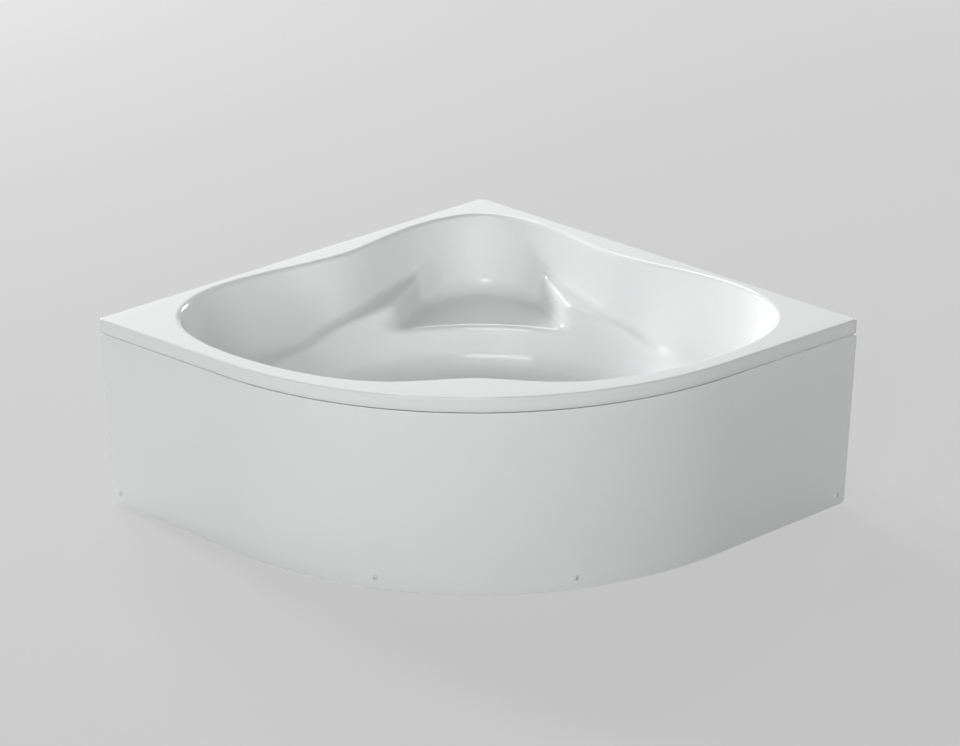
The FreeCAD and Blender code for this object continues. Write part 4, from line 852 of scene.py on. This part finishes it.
def paint_finish():
    """Powder coat on the frame's tubes: an even orange-peel and slightly dusty patches."""
    colour = tuple(bpy.context.scene.bath.finish.frame_paint)
    finish, tree, shader, where = new_finish("frame_paint", colour, 0.42)
    if tree:
        dust = noise(tree, where, 9, 5)
        tint = blend_colours(tree, spread(tree, dust, 0, 1), shade(colour, 0.88),
                             shade(colour, 1.12))
        tree.links.new(tint, shader.inputs["Base Color"])
        tree.links.new(spread(tree, dust, 0.36, 0.52), shader.inputs["Roughness"])
        bump(tree, shader, noise(tree, where, 700, 2), 0.0003)
    return finish


THREAD_PITCH = 1.5 * MM


def zinc_finish(name="zinc", pitch=None):
    """Bright zinc plate in faint crystals; with a pitch, threaded along its upright axis.

    A wave pattern runs through 20 radians to the metre at a scale of 1, so the scale is pi over
    ten times the pitch.
    """
    finish, tree, shader, where = new_finish(name, (0.6, 0.61, 0.62), 0.35, 1.0)
    if tree:
        cells = tree.nodes.new("ShaderNodeTexVoronoi")
        cells.inputs["Scale"].default_value = 240
        tree.links.new(where, cells.inputs["Vector"])
        grey = tree.nodes.new("ShaderNodeRGBToBW")
        tree.links.new(cells.outputs["Color"], grey.inputs["Color"])
        tint = blend_colours(tree, grey.outputs["Val"], (0.52, 0.53, 0.55), (0.68, 0.68, 0.68))
        tree.links.new(tint, shader.inputs["Base Color"])
        tree.links.new(spread(tree, grey.outputs["Val"], 0.26, 0.42, 0, 1),
                       shader.inputs["Roughness"])
        if pitch:
            thread = tree.nodes.new("ShaderNodeTexWave")
            thread.bands_direction = "Z"
            thread.inputs["Scale"].default_value = math.pi / (10 * pitch)
            tree.links.new(where, thread.inputs["Vector"])
            bump(tree, shader, thread.outputs["Fac"], 0.0008)
    return finish


def plastic_finish(name, colour, roughness, grain=0.00015):
    """Moulded plastic with a fine grain and slight changes of shade."""
    finish, tree, shader, where = new_finish(name, colour, roughness)
    if tree:
        cloud = noise(tree, where, 30, 3)
        tint = blend_colours(tree, spread(tree, cloud, 0, 1), shade(colour, 0.9),
                             shade(colour, 1.08))
        tree.links.new(tint, shader.inputs["Base Color"])
        tree.links.new(spread(tree, cloud, roughness * 0.85, roughness * 1.2),
                       shader.inputs["Roughness"])
        bump(tree, shader, noise(tree, where, 1100, 2), grain)
    return finish


def board_finish():
    """Pressed wood chips: flakes of several browns with dark joints, and a rough relief."""
    finish, tree, shader, where = new_finish("chipboard", (0.5, 0.36, 0.2), 0.75)
    if tree:
        flakes = tree.nodes.new("ShaderNodeTexVoronoi")
        flakes.inputs["Scale"].default_value = 190
        tree.links.new(where, flakes.inputs["Vector"])
        grey = tree.nodes.new("ShaderNodeRGBToBW")
        tree.links.new(flakes.outputs["Color"], grey.inputs["Color"])
        tint = blend_colours(tree, grey.outputs["Val"], (0.36, 0.23, 0.11), (0.66, 0.5, 0.31))
        tree.links.new(tint, shader.inputs["Base Color"])
        bump(tree, shader, noise(tree, where, 300, 6, 0.7), 0.0012)
    return finish


def paint(finish, *nodes):
    """Give carried-over CAD nodes their finish."""
    for node in nodes:
        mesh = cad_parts[node].data
        mesh.materials.clear()
        mesh.materials.append(finish)


def nodes_named(*starts):
    """The CAD nodes whose names begin with one of the words."""
    return [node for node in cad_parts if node.startswith(starts)]


class BATH_OT_frame(bpy.types.Operator):
    """Finish the frame's tubes, its bolts and brackets"""
    bl_idname = "bath.frame"
    bl_label = "Frame"

    def execute(self, context):
        paint(paint_finish(), *nodes_named(
            "cross_rail", "long_rail", "bearer", "spine", "leg_front", "leg_end", "leg_back",
            "wall_post", "seat_strut"))
        paint(zinc_finish(), "frame_bolts", "board_screws", "lock_nuts", "apron_screws",
              "apron_clips", *nodes_named("apron_brackets", "wall_brackets"))
        return {"FINISHED"}


class BATH_OT_feet(bpy.types.Operator):
    """Finish the levelling feet"""
    bl_idname = "bath.feet"
    bl_label = "Feet"

    def execute(self, context):
        paint(zinc_finish("threaded_zinc", THREAD_PITCH), *nodes_named("foot_stud"))
        paint(plastic_finish("foot_plastic", (0.035, 0.035, 0.038), 0.5),
              *nodes_named("foot_pad", "leg_inserts"))
        return {"FINISHED"}


class BATH_OT_boards(bpy.types.Operator):
    """Finish the boards and battens bonded to the shell"""
    bl_idname = "bath.boards"
    bl_label = "Boards"

    def execute(self, context):
        paint(board_finish(), "base_board", "seat_board", "rim_batten_left",
              "rim_batten_right")
        return {"FINISHED"}


class BATH_OT_pipes(bpy.types.Operator):
    """Finish the trap, the pipes, their nuts, the seals and the cable"""
    bl_idname = "bath.pipes"
    bl_label = "Pipes"

    def execute(self, context):
        white = plastic_finish("waste_plastic", tuple(context.scene.bath.finish.pipe), 0.32)
        paint(white, "waste_body", "trap_body", "trap_nut", "outlet_nut", "outlet_pipe",
              "overflow_body", "pipe_nuts", "overflow_pipe")
        paint(plastic_finish("seal_rubber", (0.02, 0.02, 0.02), 0.65, 0.0003),
              "waste_seal", "plug_seal", "overflow_seal")
        paint(plastic_finish("cable_sheath", (0.05, 0.05, 0.055), 0.4), "pop_up_cable")
        paint(cap_finish(), "cap_bases")
        return {"FINISHED"}


# ---------------------------------------------------------------- stage

# Where the camera stands and its three axes, worked out from the photograph's straight edges
# and corners.
CAMERA_PLACE = (0.08385, -5.04965 - PLAN_MIDDLE, 2.62065)
CAMERA_RIGHT = (0.9999088, 0.01280745, -0.0042852)
CAMERA_UP = (-0.001201, 0.40036523, 0.91635487)
CAMERA_AHEAD = (-0.01345181, 0.91626615, -0.4003441)
CAMERA_SHIFT = -0.00094
FLOOR_REACH, CAMERA_REACH = 30, 100


def background_rays(tree):
    """1 for a ray that shows the pale background: seen directly, mirrored or refracted."""
    path = tree.nodes.new("ShaderNodeLightPath")
    total = path.outputs["Is Camera Ray"]
    for name in ("Is Glossy Ray", "Is Transmission Ray"):
        either = tree.nodes.new("ShaderNodeMath")
        either.operation = "MAXIMUM"
        tree.links.new(total, either.inputs[0])
        tree.links.new(path.outputs[name], either.inputs[1])
        total = either.outputs[0]
    return total


def pale_stage_finish():
    """A floor that looks pale to the camera and in gloss, but still takes the shadow."""
    finish, tree, shader, _ = new_finish("stage_pale", (0.6, 0.6, 0.6), 0.9)
    if tree:
        glow = tree.nodes.new("ShaderNodeEmission")
        glow.inputs["Strength"].default_value = BACKGROUND
        mix = tree.nodes.new("ShaderNodeMixShader")
        seen = tree.nodes.new("ShaderNodeMath")
        seen.operation = "MULTIPLY"
        seen.inputs[1].default_value = FLOOR_GLOW
        tree.links.new(background_rays(tree), seen.inputs[0])
        tree.links.new(seen.outputs[0], mix.inputs["Fac"])
        tree.links.new(shader.outputs[0], mix.inputs[1])
        tree.links.new(glow.outputs[0], mix.inputs[2])
        tree.links.new(mix.outputs[0], tree.nodes["Material Output"].inputs["Surface"])
    return finish


# Name, bearing from the front and rise in degrees, width in metres and power in watts of each
# soft lamp, and the lamps' distance in metres and the height that they aim at.
LAMPS = (("lamp_left", -130, 28, 1.6, 960.0), ("lamp_back_left", -150, 20, 3.2, 660.0),
         ("lamp_back_right", 150, 20, 3.2, 370.0), ("lamp_back_high", -170, 50, 3.2, 260.0),
         ("lamp_front", -10, 18, 6.4, 600.0), ("lamp_front_high", -10, 45, 6.4, 130.0))
LAMP_DISTANCE, LAMP_AIM = 12.0, 0.4
# How bright the background looks, where 1 is white, and its share in the look of the floor.
BACKGROUND, FLOOR_GLOW = 0.62, 0.8


def area_lamp(name, bearing, rise, width, power):
    """A square soft lamp on a sphere about the object, aimed at its middle."""
    lamp = bpy.data.lights.new(name, "AREA")
    lamp.shape = "SQUARE"
    lamp.size = width
    lamp.energy = power
    turn, lift = math.radians(bearing), math.radians(rise)
    away = Vector((math.sin(turn) * math.cos(lift), -math.cos(turn) * math.cos(lift),
                   math.sin(lift)))
    thing = bpy.data.objects.new(name, lamp)
    thing.location = Vector((0, 0, LAMP_AIM)) + away * LAMP_DISTANCE
    thing.rotation_euler = (-away).to_track_quat("-Z", "Y").to_euler()
    bpy.context.scene.collection.objects.link(thing)


def pale_floor():
    """A flat square about the origin."""
    reach = FLOOR_REACH
    corners = ((-reach, -reach, 0), (reach, -reach, 0), (reach, reach, 0), (-reach, reach, 0))
    mesh = bpy.data.meshes.new("floor")
    mesh.from_pydata(corners, [], [(0, 1, 2, 3)])
    mesh.materials.append(pale_stage_finish())
    floor = bpy.data.objects.new("floor", mesh)
    bpy.context.scene.collection.objects.link(floor)
    return floor


def pale_sky(strength):
    """Even light of a strength all round, behind which the camera and gloss see a pale grey."""
    world = bpy.data.worlds.new("sky")
    world.use_nodes = True
    tree = world.node_tree
    light, seen = tree.nodes["Background"], tree.nodes.new("ShaderNodeBackground")
    for node, level in ((light, strength), (seen, BACKGROUND)):
        node.inputs["Color"].default_value = (1, 1, 1, 1)
        node.inputs["Strength"].default_value = level
    mix = tree.nodes.new("ShaderNodeMixShader")
    tree.links.new(background_rays(tree), mix.inputs["Fac"])
    tree.links.new(light.outputs[0], mix.inputs[1])
    tree.links.new(seen.outputs[0], mix.inputs[2])
    tree.links.new(mix.outputs[0], tree.nodes["World Output"].inputs["Surface"])
    return world


def main_camera(length):
    """The camera that took the photograph, with a focal length on a 36 mm wide sensor."""
    lens = bpy.data.cameras.new("camera")
    lens.lens = length
    lens.sensor_width = 36
    lens.sensor_fit = "HORIZONTAL"
    lens.shift_x = CAMERA_SHIFT
    lens.clip_end = CAMERA_REACH
    camera = bpy.data.objects.new("camera", lens)
    turn = Matrix((CAMERA_RIGHT, CAMERA_UP, tuple(-v for v in CAMERA_AHEAD))).transposed()
    camera.matrix_world = Matrix.Translation(CAMERA_PLACE) @ turn.to_4x4()
    bpy.context.scene.collection.objects.link(camera)
    return camera


class BATH_OT_stage(bpy.types.Operator):
    """Set out the floor, the light and the camera"""
    bl_idname = "bath.stage"
    bl_label = "Stage"

    def execute(self, context):
        scene, settings = context.scene, context.scene.bath.stage
        pale_floor()
        for name, bearing, rise, width, power in LAMPS:
            area_lamp(name, bearing, rise, width, power * settings.light)
        scene.world = pale_sky(settings.sky)
        scene.camera = main_camera(settings.lens)
        scene.view_settings.view_transform = "Standard"
        return {"FINISHED"}


# ---------------------------------------------------------------- panel and running

STEPS = (BATH_OT_shell, BATH_OT_panel, BATH_OT_caps, BATH_OT_waste, BATH_OT_overflow,
         BATH_OT_frame, BATH_OT_feet, BATH_OT_boards, BATH_OT_pipes, BATH_OT_stage)


class BATH_PT_sidebar(bpy.types.Panel):
    """Lists the bathtub's settings and its building steps"""
    bl_label = "Corner bathtub"
    bl_idname = "BATH_PT_sidebar"
    bl_space_type = "VIEW_3D"
    bl_region_type = "UI"
    bl_category = "Bathtub"

    def draw(self, context):
        settings = context.scene.bath
        for group in (settings.shell, settings.finish, settings.stage):
            box = self.layout.box()
            for name in group.bl_rna.properties.keys():
                if name not in ("rna_type", "name"):
                    box.prop(group, name)
        for step in STEPS:
            self.layout.operator(step.bl_idname)


CLASSES = (ShellSettings, FinishSettings, StageSettings, BathSettings, *STEPS, BATH_PT_sidebar)


def register():
    for item in CLASSES:
        bpy.utils.register_class(item)
    bpy.types.Scene.bath = PointerProperty(type=BathSettings)


def unregister():
    del bpy.types.Scene.bath
    for item in reversed(CLASSES):
        bpy.utils.unregister_class(item)


def main():
    register()
    for step in STEPS:
        group, name = step.bl_idname.split(".")
        getattr(getattr(bpy.ops, group), name)()


if __name__ == "__main__":
    main()
